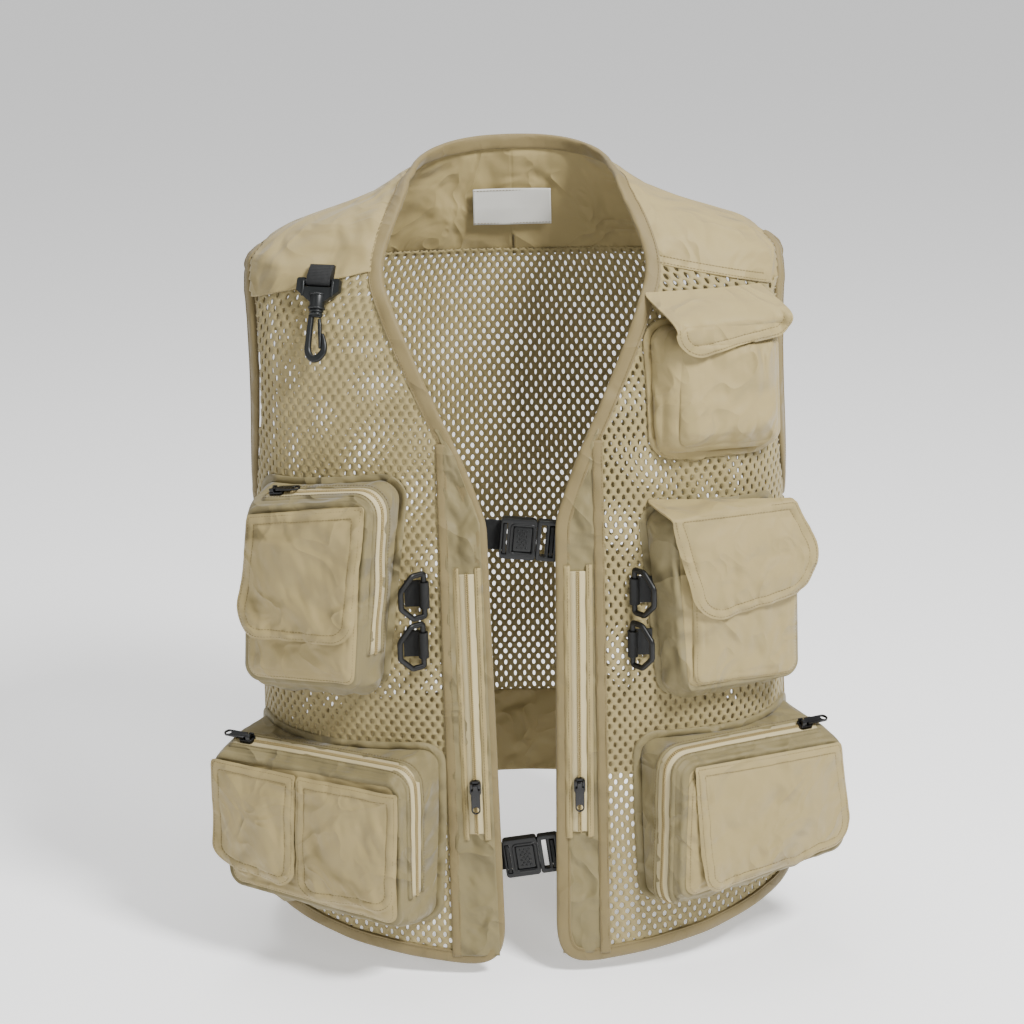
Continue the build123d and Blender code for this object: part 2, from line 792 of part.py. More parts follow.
# ---------------------------------------------------------------- push-button buckles
def buckle(name, x, z, tilt, depth_behind):
    """A housing on the wearer's right, a tongue that plugs in from the left, and a button."""
    turn = math.radians(tilt)
    along = Vector(math.cos(turn), 0, math.sin(turn))
    plane = Plane(origin=(x, front_y(40.0, z) + depth_behind, z), x_dir=along, z_dir=(0, -1, 0))
    back_level = -buckle_thickness / 2
    cavity_low = back_level + 1.2
    cavity_height = prong_height + 2 * button_gap
    housing_mid = -housing_length / 2
    inner_height = buckle_height - 5.0
    window_x = housing_mid + 3.5
    with BuildPart() as housing:
        with BuildSketch(plane.offset(back_level)):
            with Locations((housing_mid, 0)):
                RectangleRounded(housing_length, buckle_height, 3.0)
        extrude(amount=buckle_thickness)
        with BuildSketch(plane.offset(cavity_low)):
            with Locations((housing_mid + 3.5, 0)):
                Rectangle(housing_length - 7.0 + 0.01, inner_height)
        extrude(amount=cavity_height, mode=Mode.SUBTRACT)
        with BuildSketch(plane.offset(0.0)):
            with Locations((window_x, 0)):
                Rectangle(button_length + 2 * button_gap, button_height + 2 * button_gap)
        extrude(amount=buckle_thickness, mode=Mode.SUBTRACT)
        with BuildSketch(plane.offset(back_level)):
            with Locations((-housing_length + 3.6, 0)):
                Rectangle(buckle_slot, strap_height + 1.6)
        extrude(amount=buckle_thickness, mode=Mode.SUBTRACT)
    save(housing.part, f"{name}_housing")

    with BuildPart() as button:
        with BuildSketch(plane.offset(cavity_low + cavity_height)):
            with Locations((window_x, 0)):
                RectangleRounded(button_length, button_height, 1.5)
        extrude(amount=buckle_thickness / 2 - cavity_low - cavity_height - 0.4)
    save(button.part, f"{name}_button")

    prong_y = inner_height / 2 - button_gap - prong_thickness / 2
    with BuildPart() as tongue:
        with BuildSketch(plane.offset(back_level + 0.4)):
            with Locations((button_gap + tongue_length / 2, 0)):
                RectangleRounded(tongue_length, buckle_height, 2.0)
            with Locations((button_gap + 5.2, 0)):
                Rectangle(buckle_slot, strap_height + 1.6, mode=Mode.SUBTRACT)
            with Locations((button_gap + 12.0, 0)):
                Rectangle(buckle_slot, strap_height + 1.6, mode=Mode.SUBTRACT)
        extrude(amount=buckle_thickness - 0.8)
        with BuildSketch(plane.offset(cavity_low + button_gap)):
            with Locations(((1.5 - prong_length) / 2, prong_y), ((1.5 - prong_length) / 2, -prong_y)):
                Rectangle(prong_length + 1.5, prong_thickness)
        extrude(amount=prong_height)
    save(tongue.part, f"{name}_tongue")

    # Webbing: round the tongue's bar and back behind the left front.
    strap_end = button_gap + 44.0
    with BuildPart() as strap:
        with BuildSketch(plane.offset(back_level - strap_thickness)):
            with Locations(((button_gap + 7.4 + strap_end) / 2, 0)):
                Rectangle(strap_end - button_gap - 7.4, strap_height)
        extrude(amount=strap_thickness)
        with BuildSketch(plane.offset(back_level)):
            with Locations((button_gap + 12.0, 0)):
                Rectangle(buckle_slot - 1.2, strap_height)
        extrude(amount=buckle_thickness + 0.2)
    save(strap.part, f"{name}_strap")

    # Fixed webbing on the right: through the housing's slot and sewn behind the right front.
    with BuildPart() as fixed:
        with BuildSketch(plane.offset(back_level - strap_thickness)):
            with Locations((-housing_length - 12.0, 0)):
                Rectangle(34.0, strap_height)
        extrude(amount=strap_thickness)
        with BuildSketch(plane.offset(back_level)):
            with Locations((-housing_length + 3.6, 0)):
                Rectangle(buckle_slot - 1.2, strap_height)
        extrude(amount=buckle_thickness + 0.2)
        with BuildSketch(plane.offset(back_level - strap_thickness)):
            with Locations((-housing_length - 25.0, 0)):
                Rectangle(8.0, strap_height)
        extrude(amount=30.0)
        add(inner_form, mode=Mode.INTERSECT)
    note(f"{name}_tongue", plane.origin, along)
    button_spot = plane.from_local_coords(Vector(window_x, 0, buckle_thickness / 2))
    note(f"{name}_button", button_spot, Vector(0, 1, 0))
    return fixed.part


chest_fixed = buckle("chest_buckle", 12.0, -283.0, -6.0, 12.0)
waist_fixed = buckle("waist_buckle", 8.0, waist_buckle_rise - front_length, 7.0, 12.0)
with BuildPart() as fixed_straps:
    add(chest_fixed)
    add(waist_fixed)
save(fixed_straps.part, "fixed_straps")

# ---------------------------------------------------------------- swivel snap hook
hook_x = -152.0
hook_top_z = -78.0
hook_plane = facing(hook_x, front_y(hook_x, hook_top_z), hook_top_z, -18.0, 24.0).offset(7.5)
hook_eye_radius = hook_bar_radius + hinge_gap
hook_eye_outer = hook_eye_radius + tab_webbing
hook_slot_low = -hook_eye_outer - 0.7
base_half = hook_base_width / 2
barrel_low = 2.0 - hook_base_height
barrel_length = 13.0
swivel_head_radius = swivel_radius + 1.4
with BuildPart() as hook_base:
    with BuildSketch(hook_plane.offset(-hook_base_thickness / 2)):
        with BuildLine():
            FilletPolyline(
                (-base_half, hook_arm_top),
                (base_half, hook_arm_top),
                (base_half, -7.0),
                (barrel_radius, 8.0 - hook_base_height),
                (-barrel_radius, 8.0 - hook_base_height),
                (-base_half, -7.0),
                radius=2.0,
                close=True,
            )
        make_face()
        with Locations((0, (hook_arm_top + hook_slot_low) / 2)):
            Rectangle(hook_webbing_width + 3.0, hook_arm_top - hook_slot_low, mode=Mode.SUBTRACT)
    extrude(amount=hook_base_thickness)
    with BuildSketch(Plane(origin=hook_plane.origin, x_dir=hook_plane.y_dir, z_dir=hook_plane.x_dir)):
        Circle(hook_bar_radius)
    extrude(amount=hook_webbing_width / 2 + 3.0, both=True)
    barrel_plane = Plane(
        origin=hook_plane.from_local_coords(Vector(0, barrel_low, 0)),
        x_dir=hook_plane.x_dir,
        z_dir=hook_plane.y_dir,
    )
    with BuildSketch(barrel_plane):
        Circle(barrel_radius)
    extrude(amount=barrel_length)
    with BuildSketch(barrel_plane):
        Circle(swivel_radius + hinge_gap)
    extrude(amount=8.0, mode=Mode.SUBTRACT)
    with BuildSketch(barrel_plane.offset(3.0)):
        Circle(swivel_head_radius + hinge_gap)
    extrude(amount=5.0, mode=Mode.SUBTRACT)
save(hook_base.part, "hook_base")
note("hook_base", hook_plane.origin, hook_plane.x_dir * -1)

stem_top = barrel_low
hook_bottom = stem_top - hook_length
with BuildPart() as snap_hook:
    with BuildSketch(hook_plane.offset(-hook_thickness / 2)):
        with BuildLine():
            FilletPolyline(
                (-5.5, stem_top - 0.6),
                (5.5, stem_top - 0.6),
                (5.5, stem_top - 6.0),
                (-1.5, stem_top - 7.0),
                (-1.0, hook_bottom + 9.0),
                (4.0, hook_bottom + 5.5),
                (8.5, hook_bottom + 10.0),
                (8.5, hook_bottom + 17.0),
                (12.5, hook_bottom + 15.0),
                (12.5, hook_bottom + 4.0),
                (7.0, hook_bottom),
                (-1.0, hook_bottom),
                (-6.0, hook_bottom + 5.0),
                radius=1.2,
                close=True,
            )
        make_face()
    extrude(amount=hook_thickness)
    with BuildSketch(barrel_plane.offset(-1.0)):
        Circle(swivel_radius)
    extrude(amount=5.4)
    with BuildSketch(barrel_plane.offset(3.0 + hinge_gap)):
        Circle(swivel_head_radius)
    extrude(amount=2.6)
save(snap_hook.part, "snap_hook")
note("snap_hook", barrel_plane.origin, hook_plane.y_dir)

with BuildPart() as hook_gate:
    with BuildSketch(hook_plane.offset(-hook_thickness / 2 + 0.4)):
        with BuildLine():
            Polyline(
                (3.0, stem_top - 7.5),
                (5.4, stem_top - 7.1),
                (8.1, hook_bottom + 17.6),
                (7.8, hook_bottom + 11.4),
                (5.6, hook_bottom + 9.8),
                close=True,
            )
        make_face()
    extrude(amount=hook_thickness - 0.8)
save(hook_gate.part, "hook_gate")
note("hook_gate", hook_plane.from_local_coords(Vector(4.2, stem_top - 7.2, 0)), hook_plane.z_dir * -1)

# The webbing turns round the base's bar and is sewn to the yoke seam above it.
with BuildPart() as hook_webbing:
    loop_plane = Plane(
        origin=hook_plane.from_local_coords(Vector(-hook_webbing_width / 2, 0, 0)),
        x_dir=hook_plane.y_dir,
        z_dir=hook_plane.x_dir,
    )
    with BuildSketch(loop_plane):
        with BuildLine():
            Polyline(
                (0.0, 0.0),
                (0.0, hook_eye_outer),
                (4.0, hook_eye_outer),
                (15.0, -2.0),
                (15.0, -14.0),
                (0.0, -14.0),
                close=True,
            )
        make_face()
        Circle(hook_eye_outer)
        Circle(hook_eye_radius, mode=Mode.SUBTRACT)
    extrude(amount=hook_webbing_width)
    add(outer_form, mode=Mode.SUBTRACT)
save(hook_webbing.part, "hook_webbing")

for name, (point, axis) in joint_notes.items():
    place = ", ".join(f"{value / 1000:.5f}" for value in (point.X, point.Y, point.Z))
    way = ", ".join(f"{value:.5f}" for value in (axis.X, axis.Y, axis.Z))
    print(f"{name}: at [{place}] m, axis [{way}]")
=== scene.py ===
import math
import json

import bmesh
import bpy
import numpy as np
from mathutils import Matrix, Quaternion, Vector
from mathutils.bvhtree import BVHTree


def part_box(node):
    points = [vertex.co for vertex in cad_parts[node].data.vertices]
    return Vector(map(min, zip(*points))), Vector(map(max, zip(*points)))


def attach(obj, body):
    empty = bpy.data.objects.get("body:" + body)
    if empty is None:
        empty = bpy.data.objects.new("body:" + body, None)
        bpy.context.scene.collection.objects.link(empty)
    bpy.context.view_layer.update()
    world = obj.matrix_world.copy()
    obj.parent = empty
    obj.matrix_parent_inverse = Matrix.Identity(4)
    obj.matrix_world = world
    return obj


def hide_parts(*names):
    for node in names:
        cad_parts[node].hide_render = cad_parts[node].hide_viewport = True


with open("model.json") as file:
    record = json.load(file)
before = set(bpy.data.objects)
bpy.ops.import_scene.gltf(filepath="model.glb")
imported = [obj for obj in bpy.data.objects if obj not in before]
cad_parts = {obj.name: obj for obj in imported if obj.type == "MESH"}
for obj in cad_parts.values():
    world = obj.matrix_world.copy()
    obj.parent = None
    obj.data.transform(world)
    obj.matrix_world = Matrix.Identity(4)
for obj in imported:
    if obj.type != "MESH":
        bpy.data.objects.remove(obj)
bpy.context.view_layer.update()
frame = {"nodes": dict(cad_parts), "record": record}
nodes = frame["nodes"]

# All lengths below are millimetres until a mesh is made. Front is towards -Y, up is +Z,
# and side 1 is the wearer's left.
MM = 0.001
RIGHT, LEFT = -1, 1
CENTRE_Y = 8.0


# ---------------------------------------------------------------- node trees in plain sums
class Val:
    """A socket of a node tree that sums can be done with."""

    def __init__(self, tree, socket):
        self.tree = tree
        self.socket = socket

    def maths(self, operation, other=None):
        node = self.tree.nodes.new("ShaderNodeMath")
        node.operation = operation
        for place, value in enumerate((self, other)):
            if value is not None:
                feed(self.tree, node.inputs[place], value)
        return Val(self.tree, node.outputs[0])

    def __add__(self, other):
        return self.maths("ADD", other)

    __radd__ = __add__

    def __sub__(self, other):
        return self.maths("SUBTRACT", other)

    def __rsub__(self, other):
        return (self * -1.0) + other

    def __mul__(self, other):
        return self.maths("MULTIPLY", other)

    __rmul__ = __mul__

    def __truediv__(self, other):
        return self.maths("DIVIDE", other)

    def out(self, name):
        """Another output of the same node."""
        return Val(self.tree, self.socket.node.outputs[name])


def feed(tree, socket, value):
    """Join a socket to a value, or write a plain number, colour or name into it."""
    if isinstance(value, Val):
        tree.links.new(value.socket, socket)
    else:
        socket.default_value = value


def put(tree, kind, inputs=(), out=0, **settings):
    """Any node: its settings, its inputs by name or number, and the output that is wanted."""
    node = tree.nodes.new(kind)
    for key, value in settings.items():
        setattr(node, key, value)
    for key, value in dict(inputs).items():
        feed(tree, node.inputs[key], value)
    return Val(tree, node.outputs[out])


# ---------------------------------------------------------------- materials
def linear(red, green, blue):
    """A colour as it looks on a screen, 0 to 255, as the linear values that shaders use."""
    values = []
    for level in (red, green, blue):
        level /= 255.0
        values.append(level / 12.92 if level <= 0.04045 else ((level + 0.055) / 1.055) ** 2.4)
    return (*values, 1.0)


def start_material(name):
    material = bpy.data.materials.new(name)
    material.use_nodes = True
    tree = material.node_tree
    shader = tree.nodes["Principled BSDF"]
    return material, tree, shader


def mix_colour(tree, amount, first, second):
    node = tree.nodes.new("ShaderNodeMix")
    node.data_type = "RGBA"
    feed(tree, node.inputs["Factor"], amount)
    feed(tree, node.inputs["A"], first)
    feed(tree, node.inputs["B"], second)
    return Val(tree, node.outputs["Result"])


def shade_of(colour, amount):
    return tuple(level * amount for level in colour[:3]) + (1.0,)


def cloth_material(name, colour, weave=0.7, uneven=0.10, roughness=0.62, sheen=0.12, crease=0.25):
    """Plain woven cloth: crossed threads, a little unevenness and fine creases."""
    material, tree, shader = start_material(name)
    place = put(tree, "ShaderNodeTexCoord", out="Object")
    patches = put(tree, "ShaderNodeTexNoise", {"Vector": place, "Scale": 14.0, "Detail": 4.0})
    specks = put(tree, "ShaderNodeTexNoise", {"Vector": place, "Scale": 1500.0, "Detail": 2.0})
    upright = put(tree, "ShaderNodeTexWave", {"Vector": place, "Scale": 560.0, "Distortion": 0.6,
                  "Detail": 1.0, "Detail Scale": 2.0}, out="Fac", bands_direction="Z")
    level = put(tree, "ShaderNodeTexWave", {"Vector": place, "Scale": 560.0, "Distortion": 0.6,
                "Detail": 1.0, "Detail Scale": 2.0}, out="Fac", bands_direction="X")
    threads = upright.maths("MAXIMUM", level)
    tone = (patches - 0.5) * uneven + (specks - 0.5) * (uneven * 0.9) + threads * 0.06 + 0.5
    shader.inputs["Roughness"].default_value = roughness
    shader.inputs["Sheen Weight"].default_value = sheen
    shader.inputs["Sheen Roughness"].default_value = 0.5
    shader.inputs["Specular IOR Level"].default_value = 0.35
    blend = mix_colour(tree, tone, shade_of(colour, 0.80), shade_of(colour, 1.2))
    feed(tree, shader.inputs["Base Color"], blend)
    rumples = put(tree, "ShaderNodeTexNoise", {"Vector": place, "Scale": 17.0, "Detail": 1.5,
                  "Roughness": 0.45, "Distortion": 0.5})
    wrinkles = put(tree, "ShaderNodeTexNoise", {"Vector": place, "Scale": 24.0, "Detail": 1.5,
                   "Roughness": 0.4, "Distortion": 0.9})
    ridges = (wrinkles - 0.5).maths("ABSOLUTE")
    relief = rumples * 0.0150 - ridges * 0.0075
    height = threads * (weave * 0.00008) + relief * crease
    bump = put(tree, "ShaderNodeBump", {"Height": height, "Strength": 0.9, "Distance": 1.0})
    feed(tree, shader.inputs["Normal"], bump)
    return material


def webbing_material(name, colour, rib_scale=330.0):
    """Woven webbing: rows of small ribs with a dull shine."""
    material, tree, shader = start_material(name)
    place = put(tree, "ShaderNodeTexCoord", out="Object")
    rows = put(tree, "ShaderNodeTexWave", {"Vector": place, "Scale": rib_scale, "Distortion": 0.3},
               out="Fac", bands_direction="Z")
    cross = put(tree, "ShaderNodeTexWave", {"Vector": place, "Scale": rib_scale, "Distortion": 0.3},
                out="Fac", bands_direction="X")
    threads = rows * cross
    shader.inputs["Roughness"].default_value = 0.62
    shader.inputs["Specular IOR Level"].default_value = 0.4
    blend = mix_colour(tree, threads, shade_of(colour, 0.6), shade_of(colour, 2.2))
    feed(tree, shader.inputs["Base Color"], blend)
    bump = put(tree, "ShaderNodeBump", {"Height": threads * 0.0004, "Strength": 0.8, "Distance": 1.0})
    feed(tree, shader.inputs["Normal"], bump)
    return material


def plastic_material(name, colour, roughness=0.3, coat=0.15, grain=0.00006):
    """Moulded plastic or lacquered metal with a faint grain."""
    material, tree, shader = start_material(name)
    place = put(tree, "ShaderNodeTexCoord", out="Object")
    grain_map = put(tree, "ShaderNodeTexNoise", {"Vector": place, "Scale": 900.0, "Detail": 2.0})
    smears = put(tree, "ShaderNodeTexNoise", {"Vector": place, "Scale": 60.0, "Detail": 3.0})
    shader.inputs["Base Color"].default_value = colour
    shader.inputs["Specular IOR Level"].default_value = 0.35
    shader.inputs["Coat Weight"].default_value = coat
    shader.inputs["Coat Roughness"].default_value = 0.2
    feed(tree, shader.inputs["Roughness"], smears * 0.14 + (roughness - 0.07))
    bump = put(tree, "ShaderNodeBump", {"Height": grain_map * grain, "Strength": 0.6, "Distance": 1.0})
    feed(tree, shader.inputs["Normal"], bump)
    return material


KHAKI = linear(146, 130, 86)
plain_cloth = cloth_material("plain_cloth", KHAKI, crease=1.7)
# A darker copy of the khaki cloth: painted shade for the pockets' walls, also worn by the front facings and
# the pocket zips' folds.
box_cloth = cloth_material("box_cloth", linear(116, 105, 70), crease=2.3)
binding_cloth = cloth_material("binding_cloth", linear(114, 100, 64), crease=0.9)
net_cloth = cloth_material("net_cloth", linear(142, 128, 86), weave=1.4, crease=0.1)
tape_cloth = cloth_material("tape_cloth", linear(182, 168, 126), weave=1.0, crease=0.05)
label_cloth = cloth_material("label_cloth", linear(186, 185, 178), crease=0.1)
thread = plastic_material("thread", linear(108, 94, 60), 0.7, 0.0)
coil_plastic = plastic_material("coil_plastic", linear(150, 132, 88), 0.42, 0.05)
black_webbing = webbing_material("black_webbing", linear(12, 13, 13))
black_plastic = plastic_material("black_plastic", linear(5, 6, 6), 0.42, 0.05)
hook_plastic = plastic_material("hook_plastic", linear(14, 17, 17), 0.42, 0.1)
zip_black = plastic_material("zip_black", linear(5, 5, 6), 0.28, 0.2)


# ---------------------------------------------------------------- making pieces
def add_object(name, data):
    """A new object in the scene."""
    made = bpy.data.objects.new(name, data)
    bpy.context.scene.collection.objects.link(made)
    return made


def shade_smooth(mesh):
    mesh.polygons.foreach_set("use_smooth", [True] * len(mesh.polygons))


def unit(vectors):
    """The same directions, each one long."""
    return vectors / np.linalg.norm(vectors, axis=-1, keepdims=True)


def side_word(side):
    return "left" if side == LEFT else "right"


def new_piece(name, points, faces, material):
    """A mesh piece from points in millimetres."""
    mesh = bpy.data.meshes.new(name)
    points = np.asarray(points, float) * MM
    mesh.from_pydata(points.tolist(), [], [list(face) for face in faces])
    mesh.materials.append(material)
    mesh.validate()
    shade_smooth(mesh)
    mesh.update()
    return add_object(name, mesh)


def grid_faces(rows, columns, wrap=False):
    """Four-sided faces between rows of points; wrap closes each row into a ring."""
    faces = []
    last = columns if wrap else columns - 1
    for row in range(rows - 1):
        for column in range(last):
            after = (column + 1) % columns
            low, high = row * columns, (row + 1) * columns
            faces.append((low + column, low + after, high + after, high + column))
    return faces


DOUBLES = 0.0001


def weld(piece, reach):
    """Join points of a piece that lie within this many millimetres."""
    work = bmesh.new()
    work.from_mesh(piece.data)
    bmesh.ops.remove_doubles(work, verts=work.verts, dist=reach * MM)
    work.to_mesh(piece.data)
    work.free()
    piece.data.update()


def face_outwards(piece):
    """Turn a closed piece's faces to point out of it, once its doubles are merged."""
    work = bmesh.new()
    work.from_mesh(piece.data)
    bmesh.ops.remove_doubles(work, verts=work.verts, dist=DOUBLES * MM)
    bmesh.ops.recalc_face_normals(work, faces=work.faces)
    work.to_mesh(piece.data)
    work.free()
    piece.data.update()


def bake(piece):
    """Keep what the modifiers make as the piece's own plain mesh."""
    graph = bpy.context.evaluated_depsgraph_get()
    mesh = bpy.data.meshes.new_from_object(piece.evaluated_get(graph), depsgraph=graph)
    mesh.name = piece.name
    piece.modifiers.clear()
    piece.data = mesh
    return piece


def thicken(piece, amount, offset):
    """Give a sheet its thickness; offset 1 grows it outwards and -1 inwards."""
    solid = piece.modifiers.new("thickness", "SOLIDIFY")
    solid.thickness = amount * MM
    solid.offset = offset
    solid.use_even_offset = False
    return bake(piece)


def join_pieces(name, pieces):
    """One piece from several, keeping each one's materials."""
    materials = []
    points, faces, slots = [], [], []
    for piece in pieces:
        base = len(points)
        mesh = piece.data
        points.extend([tuple(v.co) for v in mesh.vertices])
        places = []
        for material in mesh.materials:
            if material not in materials:
                materials.append(material)
            places.append(materials.index(material))
        for face in mesh.polygons:
            faces.append([base + v for v in face.vertices])
            slots.append(places[face.material_index] if places else 0)
        bpy.data.objects.remove(piece)
    mesh = bpy.data.meshes.new(name)
    mesh.from_pydata(points, [], faces)
    for material in materials:
        mesh.materials.append(material)
    mesh.polygons.foreach_set("material_index", slots)
    shade_smooth(mesh)
    mesh.update()
    return add_object(name, mesh)


def soften(piece, degrees):
    """Smooth shading that keeps edges sharper than this angle crisp."""
    mesh = piece.data
    shade_smooth(mesh)
    mesh.set_sharp_from_angle(angle=math.radians(degrees))
    return piece


NOISE_SIZE = 64
NOISE_START = (17.3, 9.7)


def noise(u, v, size_u, size_v, seed):
    """Smooth random heights from -1 to 1 over two coordinates."""
    grid = np.random.default_rng(seed).uniform(-1.0, 1.0, (NOISE_SIZE, NOISE_SIZE))
    a = np.asarray(u, float) / size_u + NOISE_START[0]
    b = np.asarray(v, float) / size_v + NOISE_START[1]
    i, j = np.floor(a).astype(int), np.floor(b).astype(int)
    p, q = a - i, b - j
    p, q = p * p * (3 - 2 * p), q * q * (3 - 2 * q)
    i0, i1, j0, j1 = i % NOISE_SIZE, (i + 1) % NOISE_SIZE, j % NOISE_SIZE, (j + 1) % NOISE_SIZE
    low = grid[i0, j0] * (1 - p) + grid[i1, j0] * p
    high = grid[i0, j1] * (1 - p) + grid[i1, j1] * p
    return low * (1 - q) + high * q


def folds(u, v, size, seed, stretch=3.0, slant=0.0):
    """Layered folds that run mostly along v, turned by slant degrees."""
    turn = math.radians(slant)
    across = u * math.cos(turn) + v * math.sin(turn)
    along = v * math.cos(turn) - u * math.sin(turn)
    total = noise(across, along, size, size * stretch, seed)
    total = total + 0.45 * noise(across, along, size * 0.45, size * stretch * 0.5, seed + 1)
    return total + 0.18 * noise(across, along, size * 0.2, size * stretch * 0.25, seed + 2)


def settle(piece, body, slot, *stands_for):
    """Tie a finished piece to its body, in place of the plain CAD nodes it stands for; the finish given as
    slot is not used.
    """
    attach(piece, body)
    if stands_for:
        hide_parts(*stands_for)
    return piece


# ---------------------------------------------------------------- the shape that the cloth follows
NECK_HALF, CHEST_HALF, CHEST_DEEP, SHOULDER_HALF = 81.0, 222.0, 116.0, 219.0
FRONT_LENGTH, SHOULDER_DROP = 648.0, 57.0
# How square the level sections are: 2 is an ellipse.
SHAPE = 2.4
SHELL_NODES = ("shoulder_yoke", "right_front_mesh", "left_front_mesh", "right_placket", "left_placket",
               "edge_binding", "armhole_bindings", "back_mesh_panel", "back_hem_band")


def level_sections():
    """Height, half width, half depth and centre of level sections, from the hem upwards."""
    drop = SHOULDER_DROP
    return np.array([
        (-FRONT_LENGTH - 20, CHEST_HALF + 9, CHEST_DEEP + 8, 0),
        (-0.85 * FRONT_LENGTH, CHEST_HALF + 6, CHEST_DEEP + 5, 0),
        (-0.70 * FRONT_LENGTH, CHEST_HALF + 2, CHEST_DEEP + 2, 0),
        (-0.47 * FRONT_LENGTH, CHEST_HALF, CHEST_DEEP - 2, 2),
        (-drop - 93, CHEST_HALF - 1, CHEST_DEEP - 12, 6),
        (-drop - 33, SHOULDER_HALF + 1, CHEST_DEEP - 26, 8),
        (-drop - 9, SHOULDER_HALF - 5, CHEST_DEEP - 38, 9),
        (-0.82 * drop, SHOULDER_HALF - 35, CHEST_DEEP - 46, 11),
        (-0.39 * drop, NECK_HALF + 34, CHEST_DEEP - 52, 13),
        (0, NECK_HALF, CHEST_DEEP - 56, 14),
        (22, NECK_HALF - 13, CHEST_DEEP - 58, 16),
    ], float)


def plain_radius(angles, heights):
    """Distance from the upright centre line to the form, by angle in degrees and height."""
    known = level_sections()
    a, b, c = (np.interp(heights, known[:, 0], known[:, k]) for k in (1, 2, 3))
    turn = np.radians(angles)
    across, along = np.cos(turn), np.sin(turn)
    low, high = np.zeros_like(a), np.full_like(a, 400.0)
    for _ in range(34):
        middle = (low + high) / 2
        x, y = middle * across, CENTRE_Y + middle * along - c
        inside = (np.abs(x) / a) ** SHAPE + (np.abs(y) / b) ** SHAPE < 1.0
        low, high = np.where(inside, middle, low), np.where(inside, high, middle)
    return (low + high) / 2


def shell_tree():
    """The outer cloth of the CAD model, ready for rays."""
    points, faces = [], []
    for name in SHELL_NODES:
        piece = nodes[name]
        base = len(points)
        points.extend([piece.matrix_world @ v.co for v in piece.data.vertices])
        faces.extend([[base + v for v in face.vertices] for face in piece.data.polygons])
    return BVHTree.FromPolygons(points, faces)


ANGLE_STEP, HEIGHT_STEP, LOWEST = 2.0, 3.0, -664.0
ANGLE_COUNT, HEIGHT_COUNT = 180, 229
RAY_LENGTH = 350.0
# A hit further from the plain form than this share is an opening or an inner wall.
NEAR_FORM = 0.07


def measure_skin():
    """Radii of the CAD model's outer skin over angle and height, with its openings bridged."""
    tree = shell_tree()
    angles = np.arange(ANGLE_COUNT) * ANGLE_STEP
    heights = LOWEST + np.arange(HEIGHT_COUNT) * HEIGHT_STEP
    turns, levels = np.meshgrid(angles, heights)
    plain = plain_radius(turns.ravel(), levels.ravel()).reshape(turns.shape)
    share = np.full(turns.shape, np.nan)
    for row in range(HEIGHT_COUNT):
        for column in range(ANGLE_COUNT):
            turn = math.radians(angles[column])
            way = Vector((math.cos(turn), math.sin(turn), 0))
            start = Vector((0, CENTRE_Y * MM, heights[row] * MM)) + way * (RAY_LENGTH * MM)
            spot, _, _, distance = tree.ray_cast(start, -way, RAY_LENGTH * MM)
            if spot is not None:
                share[row, column] = (RAY_LENGTH - distance / MM) / plain[row, column]
    known = np.isfinite(share) & (share > 1 - NEAR_FORM) & (share < 1 + NEAR_FORM)
    filled = np.where(known, share, 1.0)
    for _ in range(160):
        padded = np.pad(filled, ((1, 1), (0, 0)), mode="edge")
        mean = (padded[:-2] + padded[2:] + np.roll(filled, 1, 1) + np.roll(filled, -1, 1)) / 4
        filled = np.where(known, filled, mean)
    for _ in range(2):
        padded = np.pad(filled, ((1, 1), (0, 0)), mode="edge")
        filled = (padded[:-2] + 2 * filled + padded[2:]) / 4
        filled = (np.roll(filled, 1, 1) + 2 * filled + np.roll(filled, -1, 1)) / 4
    return filled * plain


skin_table = measure_skin()


def curve_weights(p):
    """Weights of four neighbours for a smooth curve through the middle two."""
    return (
        -0.5 * p + p**2 - 0.5 * p**3,
        1 - 2.5 * p**2 + 1.5 * p**3,
        0.5 * p + 2 * p**2 - 1.5 * p**3,
        -0.5 * p**2 + 0.5 * p**3,
    )


def radius(angles, heights):
    angles, heights = np.broadcast_arrays(np.asarray(angles, float), np.asarray(heights, float))
    a = np.mod(angles, 360.0) / ANGLE_STEP
    b = np.clip((heights - LOWEST) / HEIGHT_STEP, 0, HEIGHT_COUNT - 1.001)
    i, j = np.floor(a).astype(int), np.floor(b).astype(int)
    across, along = curve_weights(a - i), curve_weights(b - j)
    total = np.zeros(a.shape)
    for m in range(4):
        row = np.clip(j + m - 1, 0, HEIGHT_COUNT - 1)
        for n in range(4):
            total = total + along[m] * across[n] * skin_table[row, (i + n - 1) % ANGLE_COUNT]
    return total


def skin_point(angles, heights):
    r, turn = radius(angles, heights), np.radians(angles)
    return np.stack([r * np.cos(turn), CENTRE_Y + r * np.sin(turn), heights + 0 * r], -1)


def skin_normal(angles, heights):
    around = skin_point(angles + 1.0, heights) - skin_point(angles - 1.0, heights)
    upward = skin_point(angles, heights + 3.0) - skin_point(angles, heights - 3.0)
    return unit(np.cross(around, upward))


def skin(angles, heights, lift=0.0):
    """Points on the cloth's outer skin, or standing off it by lift."""
    angles, heights = np.broadcast_arrays(np.asarray(angles, float), np.asarray(heights, float))
    lift = np.asarray(lift, float)
    return skin_point(angles, heights) + skin_normal(angles, heights) * lift[..., None]


def solve(low, high, below):
    """Halve a range until below() changes over; everything is done for all points at once."""
    low, high = np.array(low, float), np.array(high, float)
    for _ in range(30):
        middle = (low + high) / 2
        less = below(middle)
        low, high = np.where(less, middle, low), np.where(less, high, middle)
    return (low + high) / 2


def angle_at_x(x, heights, back=False):
    """The angle at which the front or the back of the skin has this x."""
    x, heights = np.broadcast_arrays(np.asarray(x, float), np.asarray(heights, float))
    zero = np.zeros(x.shape)
    if back:
        return solve(zero, zero + 180.0,
                     lambda a: radius(a, heights) * np.cos(np.radians(a)) > x)
    return solve(zero - 180.0, zero, lambda a: radius(a, heights) * np.cos(np.radians(a)) < x)


